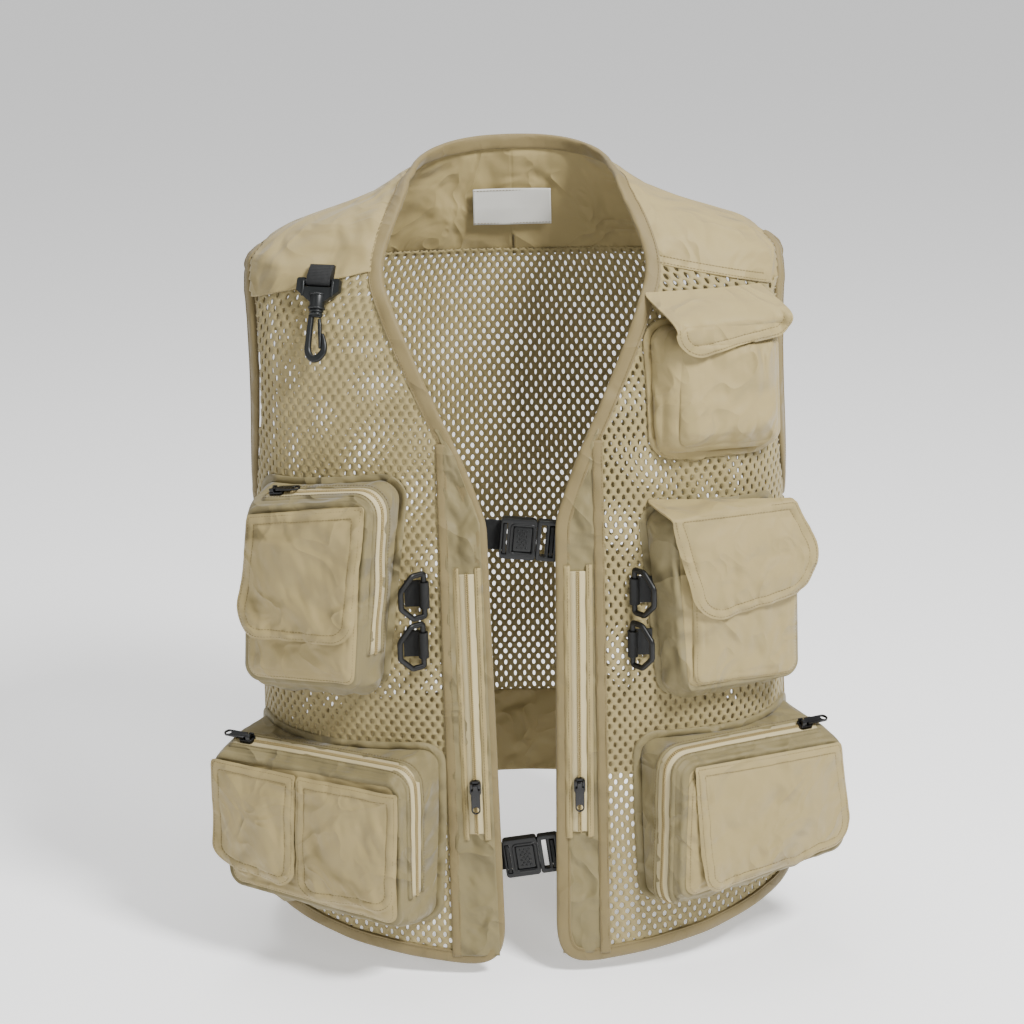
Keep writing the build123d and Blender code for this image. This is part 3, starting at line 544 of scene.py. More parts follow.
def angle_at_y(y, heights, side):
    """The angle at which one side of the skin has this y."""
    y, heights = np.broadcast_arrays(np.asarray(y, float), np.asarray(heights, float))
    zero = np.zeros(y.shape)
    found = solve(zero - 90.0, zero + 90.0,
                  lambda a: CENTRE_Y + radius(a, heights) * np.sin(np.radians(a)) < y)
    return found if side == LEFT else 180.0 - found


def front_point(x, heights, lift=0.0):
    return skin(angle_at_x(x, heights), heights, lift)


# Flat distance round the body at the waist, 0 at the front's middle, growing to the wearer's left.
flat_angles = np.arange(-450.0, 271.0, 1.0)
WAIST_Z = -400.0
waist = skin_point(flat_angles, np.full(flat_angles.shape, WAIST_Z))
flat_steps = np.linalg.norm(np.diff(waist, axis=0), axis=1)
flat_lengths = np.concatenate([[0.0], np.cumsum(flat_steps)])
flat_lengths -= np.interp(-90.0, flat_angles, flat_lengths)


def to_flat(angles):
    return np.interp(angles, flat_angles, flat_lengths)


def to_angle(flat):
    return np.interp(flat, flat_lengths, flat_angles)


# ---------------------------------------------------------------- outlines of the panels
NECK_LINE = ((81.0, 0.0), (104.0, -60.0), (97.0, -97.0), (68.0, -167.0), (45.0, -218.0), (28.5, -265.0))
# The neck line ends here, and the straight edge beside the opening runs on down to the corner.
NECK_END_X, NECK_END_Z = NECK_LINE[-1]
EDGE_X, CORNER_Z = 22.5, -622.0
ARM_Y, ARM_Z, ARM_HALF, ARM_HIGH = 8.0, -170.0, 42.0, 112.0
YOKE_IN, YOKE_OUT, BACK_YOKE = -64.0, -94.0, -90.0
PLACKET_X = 62.0


def smooth_line(points, count):
    """Points evenly along a smooth curve through the given ones."""
    knots = np.asarray(points, float)
    ends = np.vstack([2 * knots[0] - knots[1], knots, 2 * knots[-1] - knots[-2]])
    run = []
    for index in range(len(knots) - 1):
        share = np.linspace(0, 1, 24, endpoint=False)[:, None]
        weights = curve_weights(share)
        run.append(sum(weights[m] * ends[index + m] for m in range(4)))
    run = np.vstack([*run, knots[-1:]])
    return even_line(run, count)


def even_line(points, count):
    points = np.asarray(points, float)
    steps = np.linalg.norm(np.diff(points, axis=0), axis=1)
    far = np.concatenate([[0.0], np.cumsum(steps)])
    wanted = np.linspace(0, far[-1], count)
    return np.stack([np.interp(wanted, far, points[:, k]) for k in range(points.shape[1])], -1)


def line_length(points):
    return float(np.linalg.norm(np.diff(points, axis=0), axis=1).sum())


neck_run = smooth_line(NECK_LINE, 120)


def neck_x(heights):
    """The front opening's edge at each height: the neck line, then the straight edge."""
    order = np.argsort(neck_run[:, 1])
    sloped = np.interp(heights, neck_run[order, 1], neck_run[order, 0])
    straight = np.interp(heights, [CORNER_Z, NECK_END_Z], [EDGE_X, NECK_END_X])
    return np.where(heights < NECK_END_Z, straight, sloped)


def hem_z(x):
    """The front hem's height at each distance from the middle."""
    return np.interp(np.abs(x), [22, 30, 53.7, 100, 150, 190, 222, 240],
                     [-622, -640, -648, -642, -633, -622, -612, -606])


def yoke_seam_z(x):
    return np.interp(np.abs(x), [106.0, 209.0], [YOKE_IN, YOKE_OUT])


def armhole_share(y, heights, grow):
    """1 on the armhole's edge, grown by so many millimetres; less inside it and more outside."""
    return ((y - ARM_Y) / (ARM_HALF + grow)) ** 2 + ((heights - ARM_Z) / (ARM_HIGH + grow)) ** 2


def in_armhole(y, heights, grow):
    return armhole_share(y, heights, grow) < 1.0


def back_neck_z(y):
    """The height of the neck's edge at each depth behind the shoulder's top."""
    return (y - 5.0) * 16.0 / 70.0


# ---------------------------------------------------------------- repeating details
def new_tree(name, sockets):
    """A geometry tree with named inputs; returns the tree and a value for each input."""
    tree = bpy.data.node_groups.new(name, "GeometryNodeTree")
    tree.interface.new_socket("Geometry", in_out="OUTPUT", socket_type="NodeSocketGeometry")
    for label, kind in sockets.items():
        tree.interface.new_socket(label, in_out="INPUT", socket_type=kind)
    source = tree.nodes.new("NodeGroupInput")
    target = tree.nodes.new("NodeGroupOutput")
    return tree, {label: Val(tree, source.outputs[label]) for label in sockets}, target.inputs[0]


def run_tree(piece, tree, **values):
    """Put the tree on a piece with these inputs and keep what it makes."""
    modifier = piece.modifiers.new(tree.name, "NODES")
    modifier.node_group = tree
    for item in tree.interface.items_tree:
        if item.item_type == "SOCKET" and item.in_out == "INPUT" and item.name in values:
            modifier[item.identifier] = values[item.name]
    return bake(piece)


def build_row_tree():
    """Copies of one small shape along every line of a piece, each turned along its line."""
    tree, given, result = new_tree("small_shapes_along_lines", {
        "Geometry": "NodeSocketGeometry", "Shape": "NodeSocketObject", "Step": "NodeSocketFloat",
        "Finish": "NodeSocketMaterial"})
    curve = put(tree, "GeometryNodeMeshToCurve", {"Mesh": given["Geometry"]})
    dots = put(tree, "GeometryNodeCurveToPoints", {"Curve": curve, "Length": given["Step"]},
               mode="LENGTH")
    shape = put(tree, "GeometryNodeObjectInfo", {"Object": given["Shape"], "As Instance": False},
                out="Geometry")
    turn = put(tree, "FunctionNodeAlignRotationToVector", {"Vector": dots.out("Tangent")}, axis="X")
    copies = put(tree, "GeometryNodeInstanceOnPoints",
                 {"Points": dots, "Instance": shape, "Rotation": turn})
    solid = put(tree, "GeometryNodeRealizeInstances", {"Geometry": copies})
    painted = put(tree, "GeometryNodeSetMaterial", {"Geometry": solid, "Material": given["Finish"]})
    tree.links.new(painted.socket, result)
    return tree


def build_net_tree():
    """Knitted net: a brick pattern of holed cells laid over a sheet by its flat map."""
    tree, given, result = new_tree("knitted_net", {
        "Geometry": "NodeSocketGeometry", "Cell": "NodeSocketObject", "Low": "NodeSocketVector",
        "Columns": "NodeSocketInt", "Rows": "NodeSocketInt", "Across": "NodeSocketFloat",
        "Up": "NodeSocketFloat", "Map scale": "NodeSocketFloat", "Finish": "NodeSocketMaterial"})
    wide = given["Across"] * (given["Columns"] - 1.0)
    high = given["Up"] * (given["Rows"] - 1.0)
    grid = put(tree, "GeometryNodeMeshGrid", {"Size X": wide, "Size Y": high,
               "Vertices X": given["Columns"], "Vertices Y": given["Rows"]})
    spot = put(tree, "ShaderNodeSeparateXYZ", {0: put(tree, "GeometryNodeInputPosition")})
    row = ((spot.out("Y") + high * 0.5) / given["Up"]).maths("ROUND")
    odd = row.maths("FLOORED_MODULO", 2.0)
    shift = put(tree, "ShaderNodeCombineXYZ",
                {"X": wide * 0.5 + odd * given["Across"] * 0.5, "Y": high * 0.5})
    moved = put(tree, "ShaderNodeVectorMath", {0: shift, 1: given["Low"]}, operation="ADD")
    laid = put(tree, "GeometryNodeSetPosition", {"Geometry": grid, "Offset": moved})
    centre = tree.nodes.new("GeometryNodeCaptureAttribute")
    centre.capture_items.new("VECTOR", "Centre")
    tree.links.new(laid.socket, centre.inputs["Geometry"])
    tree.links.new(put(tree, "GeometryNodeInputPosition").socket, centre.inputs["Centre"])
    cell = put(tree, "GeometryNodeObjectInfo", {"Object": given["Cell"]}, out="Geometry")
    copies = put(tree, "GeometryNodeInstanceOnPoints",
                 {"Points": Val(tree, centre.outputs["Geometry"]), "Instance": cell})
    solid = put(tree, "GeometryNodeRealizeInstances", {"Geometry": copies})
    middle = Val(tree, centre.outputs["Centre"])
    # Holes differ a little, and lean with the pull of the cloth.
    rim = put(tree, "GeometryNodeInputNamedAttribute", {"Name": "rim"}, data_type="FLOAT")
    loose = put(tree, "ShaderNodeTexNoise", {"Vector": middle, "Scale": 16.0, "Detail": 2.0})
    near = put(tree, "ShaderNodeTexNoise", {"Vector": middle, "Scale": 150.0, "Detail": 1.0})
    level = put(tree, "ShaderNodeSeparateXYZ", {0: middle}).out("Y")
    chest = ((level + 0.24) * 8.0).maths("MINIMUM", 1.0).maths("MAXIMUM", 0.0)
    width = (loose - 0.5) * 1.1 + (near - 0.5) * 0.5 - chest * 0.42 + 0.06
    here = put(tree, "GeometryNodeInputPosition")
    away = put(tree, "ShaderNodeVectorMath", {0: here, 1: middle}, operation="SUBTRACT")
    parts = put(tree, "ShaderNodeSeparateXYZ", {0: away})
    lean = parts.out("Y") * (near - 0.5) * 0.7
    nudge = put(tree, "ShaderNodeCombineXYZ", {"X": (parts * width + lean) * rim,
                "Y": parts.out("Y") * (loose - 0.5) * -0.3 * rim})
    shaped = put(tree, "GeometryNodeSetPosition", {"Geometry": solid, "Offset": nudge})
    knit = put(tree, "GeometryNodeMergeByDistance", {"Geometry": shaped, "Distance": 0.00008})
    place = put(tree, "ShaderNodeVectorMath",
                {0: put(tree, "GeometryNodeInputPosition"), 3: given["Map scale"]}, operation="SCALE")
    chart = put(tree, "GeometryNodeInputNamedAttribute", {"Name": "flat"}, data_type="FLOAT_VECTOR")
    found = put(tree, "GeometryNodeSampleUVSurface",
                {"Mesh": given["Geometry"], "Value": put(tree, "GeometryNodeInputPosition"),
                 "UV Map": chart, "Sample UV": place}, data_type="FLOAT_VECTOR")
    kept = put(tree, "GeometryNodeStoreNamedAttribute",
               {"Geometry": knit, "Name": "ok", "Value": found.out("Is Valid")},
               data_type="BOOLEAN", domain="POINT")
    draped = put(tree, "GeometryNodeSetPosition", {"Geometry": kept, "Position": found})
    ok = put(tree, "GeometryNodeInputNamedAttribute", {"Name": "ok"}, data_type="BOOLEAN")
    missing = put(tree, "FunctionNodeBooleanMath", {0: ok}, operation="NOT")
    trimmed = put(tree, "GeometryNodeDeleteGeometry", {"Geometry": draped, "Selection": missing},
                  domain="POINT")
    painted = put(tree, "GeometryNodeSetMaterial", {"Geometry": trimmed, "Material": given["Finish"]})
    tree.links.new(painted.socket, result)
    return tree


row_tree = build_row_tree()
net_tree = build_net_tree()


def small_shape(name, length, width, height, sides=6, rings=5, power=1.0):
    """A rounded grain, long along x, that stitches and zip teeth are made of."""
    points, faces = [(-length / 2, 0, 0)], []
    for ring in range(1, rings):
        turn = math.pi * ring / rings
        for side in range(sides):
            around = 2 * math.pi * side / sides
            swell = math.sin(turn) ** power
            points.append((-length / 2 * math.cos(turn), width / 2 * swell * math.cos(around),
                           height / 2 * swell * math.sin(around)))
    points.append((length / 2, 0, 0))
    last = len(points) - 1
    for side in range(sides):
        after = (side + 1) % sides
        faces.append((0, 1 + after, 1 + side))
        faces.append((last, last - sides + side, last - sides + after))
    for ring in range(rings - 2):
        for side in range(sides):
            after = (side + 1) % sides
            low = 1 + ring * sides
            faces.append((low + side, low + after, low + sides + after, low + sides + side))
    return new_piece(name, points, faces, thread)


def net_cell(across, up, hole_across, hole_up):
    """One cell of the net: a six-sided piece with an oval hole, its corners shared with its neighbours."""
    corners = [(0, -2 / 3), (0.5, -1 / 3), (0.5, 1 / 3), (0, 2 / 3), (-0.5, 1 / 3), (-0.5, -1 / 3)]
    border = []
    for k, (x, y) in enumerate(corners):
        after = corners[(k + 1) % 6]
        border.extend([(x, y), ((x + after[0]) / 2, (y + after[1]) / 2)])
    points = [(x * across * MM, y * up * MM, 0) for x, y in border]
    for x, y in border:
        turn = math.atan2(y * up / hole_up, x * across / hole_across)
        points.append((hole_across / 2 * math.cos(turn) * MM, hole_up / 2 * math.sin(turn) * MM, 0))
    count = len(border)
    faces = [(k, (k + 1) % count, count + (k + 1) % count, count + k) for k in range(count)]
    cell = new_piece("net_cell", np.array(points) / MM, faces, net_cloth)
    rim = cell.data.attributes.new("rim", "FLOAT", "POINT")
    rim.data.foreach_set("value", [0.0] * count + [1.0] * count)
    return cell


STITCH_STEP, TOOTH_STEP = 2.7, 1.7
stitch_shape = small_shape("stitch", 2.2, 0.62, 0.55, 5, 4)
tooth_shape = small_shape("tooth", 1.25, 2.0, 1.7, 8, 5, 0.7)
CELL_ACROSS, CELL_UP = 8.6, 5.5
HOLE_ACROSS, HOLE_UP = 4.1, 5.3
net_shape = net_cell(CELL_ACROSS, CELL_UP, HOLE_ACROSS, HOLE_UP)
# A flat map's numbers are millimetres moved by MAP_SHIFT and shared by MAP_SPAN, so they lie between 0 and 1.
MAP_SHIFT, MAP_SPAN = 1000.0, 2000.0
NET_THICKNESS = 1.1

stitch_lines = {}


def sew(owner, points):
    """Remember a line of stitches on a piece."""
    stitch_lines.setdefault(owner, []).append(np.asarray(points, float))


def line_piece(name, lines):
    """Bare edges along the lines, for a tree to lay shapes on."""
    points, edges = [], []
    for line in lines:
        base = len(points)
        points.extend((np.asarray(line) * MM).tolist())
        edges.extend((base + k, base + k + 1) for k in range(len(line) - 1))
    mesh = bpy.data.meshes.new(name)
    mesh.from_pydata(points, edges, [])
    return add_object(name, mesh)


def rows_of(name, lines, shape, step, material):
    """Stitches, teeth or beads along lines, as one piece."""
    piece = line_piece(name, lines)
    run_tree(piece, row_tree, Shape=shape, Step=step * MM, Finish=material)
    shade_smooth(piece.data)
    return piece


# ---------------------------------------------------------------- sheets and bands of the shell
def masked_sheet(name, angles, heights, keep, lift, material):
    """A sheet over a grid of angles and heights, cut where keep says no."""
    points = skin(angles, heights, lift)
    rows, columns = angles.shape
    flat_points = points.reshape(-1, 3)
    allowed = keep(points).ravel()
    faces = [f for f in grid_faces(rows, columns) if all(allowed[v] for v in f)]
    used = sorted({v for f in faces for v in f})
    renumber = {v: k for k, v in enumerate(used)}
    faces = [[renumber[v] for v in f] for f in faces]
    sheet = new_piece(name, flat_points[used], faces, material)
    flat = np.stack([to_flat(angles).ravel()[used], heights.ravel()[used]], -1)
    chart = sheet.data.uv_layers.new(name="flat")
    loops = np.array([loop.vertex_index for loop in sheet.data.loops])
    chart.data.foreach_set("uv", ((flat[loops] + MAP_SHIFT) / MAP_SPAN).ravel())
    return sheet


def net_sheet(name, sheet, low, high, rows_from=0, rows_to=None):
    """The holed net in place of a plain sheet; low and high bound it on the flat map."""
    columns = int((high[0] - low[0]) / CELL_ACROSS) + 3
    rows = int((high[1] - low[1]) / CELL_UP) + 3
    rows_to = rows if rows_to is None else rows_to
    base = low[1] + MAP_SHIFT - CELL_UP + rows_from * CELL_UP
    corner = Vector(((low[0] + MAP_SHIFT - CELL_ACROSS) * MM, base * MM, 0))
    run_tree(sheet, net_tree, Cell=net_shape, Low=corner, Columns=columns, Rows=rows_to - rows_from,
             Across=CELL_ACROSS * MM, Up=CELL_UP * MM, Finish=net_cloth,
             **{"Map scale": 1.0 / (MAP_SPAN * MM)})
    sheet.name = name
    return thicken(sheet, NET_THICKNESS, -1.0)


def band(name, angles, heights, profile, material, flip=1, swell=None, closed=False):
    """A solid band along a line on the skin. The profile gives (across, lift) corners."""
    spots, normals = skin_point(angles, heights), skin_normal(angles, heights)
    if closed:
        along = np.roll(spots, -1, 0) - np.roll(spots, 1, 0)
    else:
        along = np.gradient(spots, axis=0)
    across = unit(np.cross(normals, along) * flip)
    return sweep(name, spots, across, normals, profile, material, swell, closed)


def sweep(name, spots, across, normals, profile, material, swell=None, closed=False):
    """A profile carried along points, each with its own sideways and outward directions."""
    count = len(spots)
    swell = np.ones(count) if swell is None else swell
    points = []
    for offset, lift in profile:
        points.append(spots + across * offset + normals * (lift * swell)[:, None])
    points = np.stack(points, 1).reshape(-1, 3)
    size = len(profile)
    faces = grid_faces(count, size, wrap=True)
    if closed:
        last = (count - 1) * size
        for k in range(size):
            after = (k + 1) % size
            faces.append((last + k, last + after, after, k))
    else:
        faces.append(tuple(range(size))[::-1])
        faces.append(tuple((count - 1) * size + k for k in range(size)))
    piece = new_piece(name, points, faces, material)
    face_outwards(piece)
    return soften(piece, 50)


def beside(angles, heights, offset, lift, flip=1):
    """The line that runs beside another one on the skin."""
    spots, normals = skin_point(angles, heights), skin_normal(angles, heights)
    across = unit(np.cross(normals, np.gradient(spots, axis=0)) * flip)
    return spots + across * offset + normals * lift


# The folded tape's section, as (across, lift): it wraps the cloth's edge from the outside to the inside.
BINDING = [(11.0, 0.2), (10.6, 0.95), (9.6, 1.1), (8.8, 0.85), (8.0, 1.15), (5.0, 1.55), (2.0, 1.5),
           (0.2, 1.1), (-0.8, 0.0), (-1.1, -1.2), (-0.8, -2.4), (0.2, -3.2), (3.0, -3.6), (8.0, -3.3),
           (10.4, -2.9), (11.0, -2.2)]


def shell_folds(side, flat, heights):
    """Soft folds of the fronts: pulled between the pockets and eased at the chest."""
    calm = folds(flat, heights, 46.0, 31 + side, 4.0, 6.0 * side)
    small = folds(flat, heights, 15.0, 51 + side, 2.5, -14.0 * side)
    chest = np.clip((heights + 420.0) / 260.0, 0.25, 1.0)
    return calm * 1.6 * chest + small * 0.4


FRONT_LOW, FRONT_TOP, FRONT_FLAT = -655.0, -52.0, 330.0
BACK_FLAT, BACK_LOW, BACK_TOP = 345.0, -512.0, -78.0
BAND_TOP = -500.0


def front_sheet(side):
    """The net of one front, from under the facing to the side seam."""
    step = 2.5
    flat = np.arange(24.0, FRONT_FLAT, step) * side
    heights = np.arange(FRONT_LOW, FRONT_TOP, step)
    u, v = np.meshgrid(flat, heights)
    angles = to_angle(u)

    def keep(points):
        x, y, z = np.abs(points[..., 0]), points[..., 1], points[..., 2]
        inner = np.maximum(neck_x(z) + 5.0, PLACKET_X - 4.0)
        inside = (x > inner) & (z < yoke_seam_z(x) + 7.0) & (z > hem_z(x) + 5.0)
        return inside & (y < CENTRE_Y + 1.0) & ~in_armhole(y, z, 3.0)

    sheet = masked_sheet("front_net", angles, v, keep, shell_folds(side, u, v) - 0.4, net_cloth)
    ends = sorted((25.0 * side, FRONT_FLAT * side))
    return net_sheet(f"{side_word(side)}_front_net", sheet, (ends[0], FRONT_LOW), (ends[1], FRONT_TOP))


def back_nets():
    """The net of the back, in an upper and a lower piece that share one pattern."""
    step = 2.8
    middle = float(to_flat(90.0))
    flat = np.arange(middle - BACK_FLAT, middle + BACK_FLAT, step)
    heights = np.arange(BACK_LOW, BACK_TOP, step)
    u, v = np.meshgrid(flat, heights)
    angles = to_angle(u)

    def keep(points):
        y, z = points[..., 1], points[..., 2]
        inside = (z < BACK_YOKE + 7.0) & (z > BAND_TOP - 9.0) & (y > CENTRE_Y - 1.0)
        return inside & ~in_armhole(y, z, 3.0)

    made = []
    for name, first, last in (("back_net_low", 0, 40), ("back_net_top", 40, 82)):
        lift = folds(u, v, 60.0, 71, 3.0, 4.0) * 1.5 - 0.5
        sheet = masked_sheet("back_net", angles, v, keep, lift, net_cloth)
        made.append(net_sheet(name, sheet, (middle - BACK_FLAT, BACK_LOW), (middle + BACK_FLAT, BACK_TOP),
                              first, last))
    return made


def sheet_between(name, angles, heights, lift, material, thickness, offset=-1.0):
    """A plain sheet over a regular grid of skin places."""
    piece = new_piece(name, skin(angles, heights, lift).reshape(-1, 3), grid_faces(*angles.shape), material)
    return thicken(piece, thickness, offset)


YOKE_TOP = 19.0


def make_yoke():
    """One cloth over both shoulders, made as two halves that are welded at the back's middle."""
    halves = []
    for side in (RIGHT, LEFT):
        front = np.linspace(-76.0, 90.0, 186)
        share = np.linspace(0.0, 1.0, 92)
        turn, rise = np.meshgrid(front, share)
        angles = turn if side == LEFT else -180.0 - turn
        middle_x = np.abs(skin_point(angles, np.full(angles.shape, BACK_TOP))[..., 0])
        seam = np.where(turn < 0, yoke_seam_z(middle_x), BACK_YOKE)
        heights = seam + rise * (YOKE_TOP - seam)

        def keep(points):
            x, y, z = np.abs(points[..., 0]), points[..., 1], points[..., 2]
            front_side = y < CENTRE_Y
            clear_neck = np.where(front_side, x > neck_x(z) + 4.0, z < back_neck_z(y) - 5.0)
            return clear_neck & ~in_armhole(y, z, -0.5)

        flat = to_flat(turn)
        ease = np.clip(rise * 6.0, 0.0, 1.0) * np.clip((90.0 - turn) / 15.0, 0.0, 1.0)
        lift = folds(flat, heights, 34.0, 91 + side, 2.0, 30.0) * 0.9 * ease + 1.3
        edge = np.exp(-((rise * np.abs(seam) / 3.2) ** 2))
        lift = lift + edge * 0.35
        # The cloth goes in under the bindings of the armhole and the neck.
        spots = skin(angles, heights, 0.0)
        x, y, z = np.abs(spots[..., 0]), spots[..., 1], spots[..., 2]
        reach = armhole_share(y, z, 11.0)
        neck = np.where(y < CENTRE_Y, x - neck_x(z) - 9.0, back_neck_z(y) - z - 9.0)
        bare = np.clip((reach - 0.96) / 0.08, 0, 1) * np.clip(neck / 4.0, 0, 1)
        lift = lift * bare - 0.5 * (1 - bare)
        halves.append(masked_sheet("yoke", angles, heights, keep, lift, plain_cloth))
        for above in (1.8, 7.5):
            row = np.arange(-66.0, -12.0, 1.0)
            place = row if side == LEFT else -180.0 - row
            x = np.abs(skin_point(place, np.full(row.shape, BACK_TOP))[:, 0])
            level = yoke_seam_z(x) + above
            spots = skin(place, level, 1.75)
            inside = (np.abs(spots[:, 0]) > neck_x(level) + 9.0) & ~in_armhole(spots[:, 1], level, 10.0)
            sew("yoke", spots[inside])
    yoke = join_pieces("yoke", halves)
    weld(yoke, 0.05)
    return thicken(yoke, 1.5, -1.0)


def make_placket(side):
    """The plain facing beside the opening, and the tape over the net's edge."""
    word = side_word(side)
    made = []
    heights = np.linspace(-640.0, -188.0, 230)
    share = np.linspace(0.0, 1.0, 18)
    v, u = np.meshgrid(heights, share, indexing="ij")
    inner, outer = neck_x(v) + 4.0, np.maximum(neck_x(v) + 8.0, PLACKET_X - 1.0)
    x = (inner + (outer - inner) * u) * side
    angles = angle_at_x(x, v)
    zipped = np.clip((-296.0 - v) / 10.0, 0, 1) * np.clip((v + 540.0) / 10.0, 0, 1)
    ripple = folds(v, x * 2.2, 13.0, 7 + side, 1.6, 20.0)
    lift = 0.5 + ripple * (1.0 - 0.9 * zipped) * np.sin(math.pi * u) ** 0.6 * 1.5
    # The facing wears the darker copy of the khaki, the one that paints the shade of the pocket walls.
    made.append(sheet_between(f"{word}_facing", angles, v, lift, box_cloth, 1.4))
    # The tape that covers the net's raw edge.
    heights = np.linspace(-641.0, -200.0, 190)
    angles = angle_at_x(np.full(heights.shape, PLACKET_X * side), heights)
    puff = 1.0 + 0.25 * noise(heights, heights * 0, 9.0, 9.0, 5 + side)
    tape = [(-4.4, 0.2), (-4.2, 1.5), (-3.2, 1.9), (0, 2.3), (3.2, 1.9), (4.2, 1.5), (4.4, 0.2)]
    made.append(band(f"{word}_seam_tape", angles, heights, tape, binding_cloth, swell=puff))
    for offset in (-3.0, 3.0):
        sew("plackets", beside(angles, heights, offset, 2.0))
    return made


ZIP_LOW, ZIP_TOP = -531.0, -306.0
ZIP_LOW_X, ZIP_TOP_X = 42.5, 44.5
FOLD_PAST = 5.0


def zip_path(side, past=0.0, count=150):
    """The front zip's line, which may run past both of its ends."""
    heights = np.linspace(ZIP_LOW - past, ZIP_TOP + past, count)
    x = np.interp(heights, [ZIP_LOW, ZIP_TOP], [ZIP_LOW_X, ZIP_TOP_X]) * side
    return angle_at_x(x, heights), heights


def teeth_lines(spots, across, normals, lift, apart=1.65, pitch=2.0):
    """Both rows of a coil's teeth, half a pitch apart, as two lines."""
    length = line_length(spots)
    lines = []
    for row, sign in enumerate((-1, 1)):
        start = row * 0.5 * pitch / max(length, 1.0)
        run = spots + across * (apart * 0.5 * sign) + normals * lift
        count = max(int(length / pitch), 8)
        even = even_line(run, count * 4)
        first = int(round(start * len(even)))
        lines.append(even[first:])
    return lines


def make_front_zip(side):
    """The tape, the coil's teeth and the two folds of one front zip."""
    word = side_word(side)
    angles, heights = zip_path(side)
    tape = [(-8.0, -0.2), (-7.9, 1.9), (-2.4, 2.1), (-1.9, 2.4), (1.9, 2.4), (2.4, 2.1), (7.9, 1.9),
            (8.0, -0.2)]
    base = band(f"{word}_front_tape", angles, heights, tape, tape_cloth)
    spots, normals = skin_point(angles, heights), skin_normal(angles, heights)
    across = unit(np.cross(normals, np.gradient(spots, axis=0)))
    teeth = rows_of(f"{word}_front_teeth", teeth_lines(spots, across, normals, 2.8), tooth_shape,
                    TOOTH_STEP, coil_plastic)
    pieces = [base, teeth]
    # The facing is folded back along both sides of the tape.
    for sign in (-1, 1):
        fold = [(sign * 6.6, 0.6), (sign * 6.4, 2.7), (sign * 7.4, 3.4), (sign * 9.5, 3.1),
                (sign * 11.4, 1.8), (sign * 11.9, -0.4)]
        puff = 1.0 + 0.2 * noise(heights, heights * 0, 8.0, 8.0, 25 + sign + side)
        turns, tall = zip_path(side, FOLD_PAST, 120)
        puff = np.interp(tall, heights, puff)
        pieces.append(band(f"{word}_fold_{sign + 1}", turns, tall, fold, plain_cloth, swell=puff))
        sew("plackets", beside(turns, tall, sign * 8.6, 3.45))
    return pieces


# ---------------------------------------------------------------- bindings, hem band and label
def opening_line():
    """The bound edge from the right side seam, round the fronts and the neck, to the left one."""
    half = []
    x = np.linspace(229.0, 56.0, 60)
    half.append(np.stack([x, hem_z(x)], 1))
    corner = smooth_line([(53.7, -648.0), (38.0, -646.5), (27.0, -638.0), (22.8, -622.0)], 18)
    half.append(corner[1:])
    tall = np.linspace(-612.0, -270.0, 70)
    half.append(np.stack([neck_x(tall), tall], 1))
    half.append(neck_run[::-1][1:-4])
    line = np.vstack(half)
    angles = angle_at_x(line[:, 0], line[:, 1])
    seam = angle_at_y(CENTRE_Y, line[:, 1], LEFT)
    angles = np.where(line[:, 0] > 222.0, seam, angles)
    keep = np.ones(len(line), bool)
    first = np.argmax(line[:, 0] < 228.0)
    keep[:first] = False
    angles, tall = angles[keep], line[keep, 1]
    # Over the shoulder and round the back of the neck, to its middle.
    depth = np.linspace(9.0, 74.0, 40)
    rise = back_neck_z(depth)
    behind = solve(depth * 0, depth * 0 + 90.0,
                   lambda a: CENTRE_Y + radius(a, rise) * np.sin(np.radians(a)) < depth)
    behind[-1] = 90.0
    left = np.stack([np.concatenate([angles, behind]), np.concatenate([tall, rise])], 1)
    right = left[::-1][1:].copy()
    right[:, 0] = 180.0 - right[:, 0]
    return np.vstack([left, right])


def even_places(places, step):
    """The same line on the skin, with places evenly apart."""
    points = skin_point(places[:, 0], places[:, 1])
    far = np.concatenate([[0.0], np.cumsum(np.linalg.norm(np.diff(points, axis=0), axis=1))])
    wanted = np.linspace(0, far[-1], int(far[-1] / step))
    run = np.stack([np.interp(wanted, far, places[:, k]) for k in range(2)], 1)
    for _ in range(3):
        run[1:-1] = (run[:-2] + 2 * run[1:-1] + run[2:]) / 4
    return run[:, 0], run[:, 1]


def pucker(count, seed, amount=0.16):
    """How much a tape swells between its stitches, point by point."""
    run = np.arange(count, dtype=float)
    fine, broad = noise(run, run * 0, 2.6, 5.0, seed), noise(run, run * 0, 9.0, 5.0, seed + 1)
    return 1.0 + amount * fine + amount * broad


def make_edge_binding():
    angles, heights = even_places(opening_line(), 3.2)
    piece = band("edge_tape", angles, heights, BINDING, binding_cloth, flip=-1,
                 swell=pucker(len(angles), 3))
    sew("edge_tape", beside(angles, heights, 9.0, 1.15, -1))
    return piece


def make_armhole_binding(side):
    turn = np.radians(np.linspace(0, 360, 200, endpoint=False))
    depth = ARM_Y + ARM_HALF * np.cos(turn)
    tall = ARM_Z + ARM_HIGH * np.sin(turn)
    angles = angle_at_y(depth, tall, side)
    word = side_word(side)
    piece = band(f"{word}_arm_tape", angles, tall, BINDING, binding_cloth, flip=side, closed=True,
                 swell=pucker(len(turn), 13 + side))
    sew(f"arm_tape_{word}", beside(angles, tall, 9.0, 1.15, side)[2:-2])
    return piece


BACK_HEM, HEM_FALL = -583.0, 29.0
# The height at which the hem band's distance from the middle is measured.
HEM_CHART_Z = -550.0


def back_hem_z(x):
    """The back hem's height: it falls towards both sides."""
    return BACK_HEM - HEM_FALL * (np.abs(x) / CHEST_HALF) ** 2


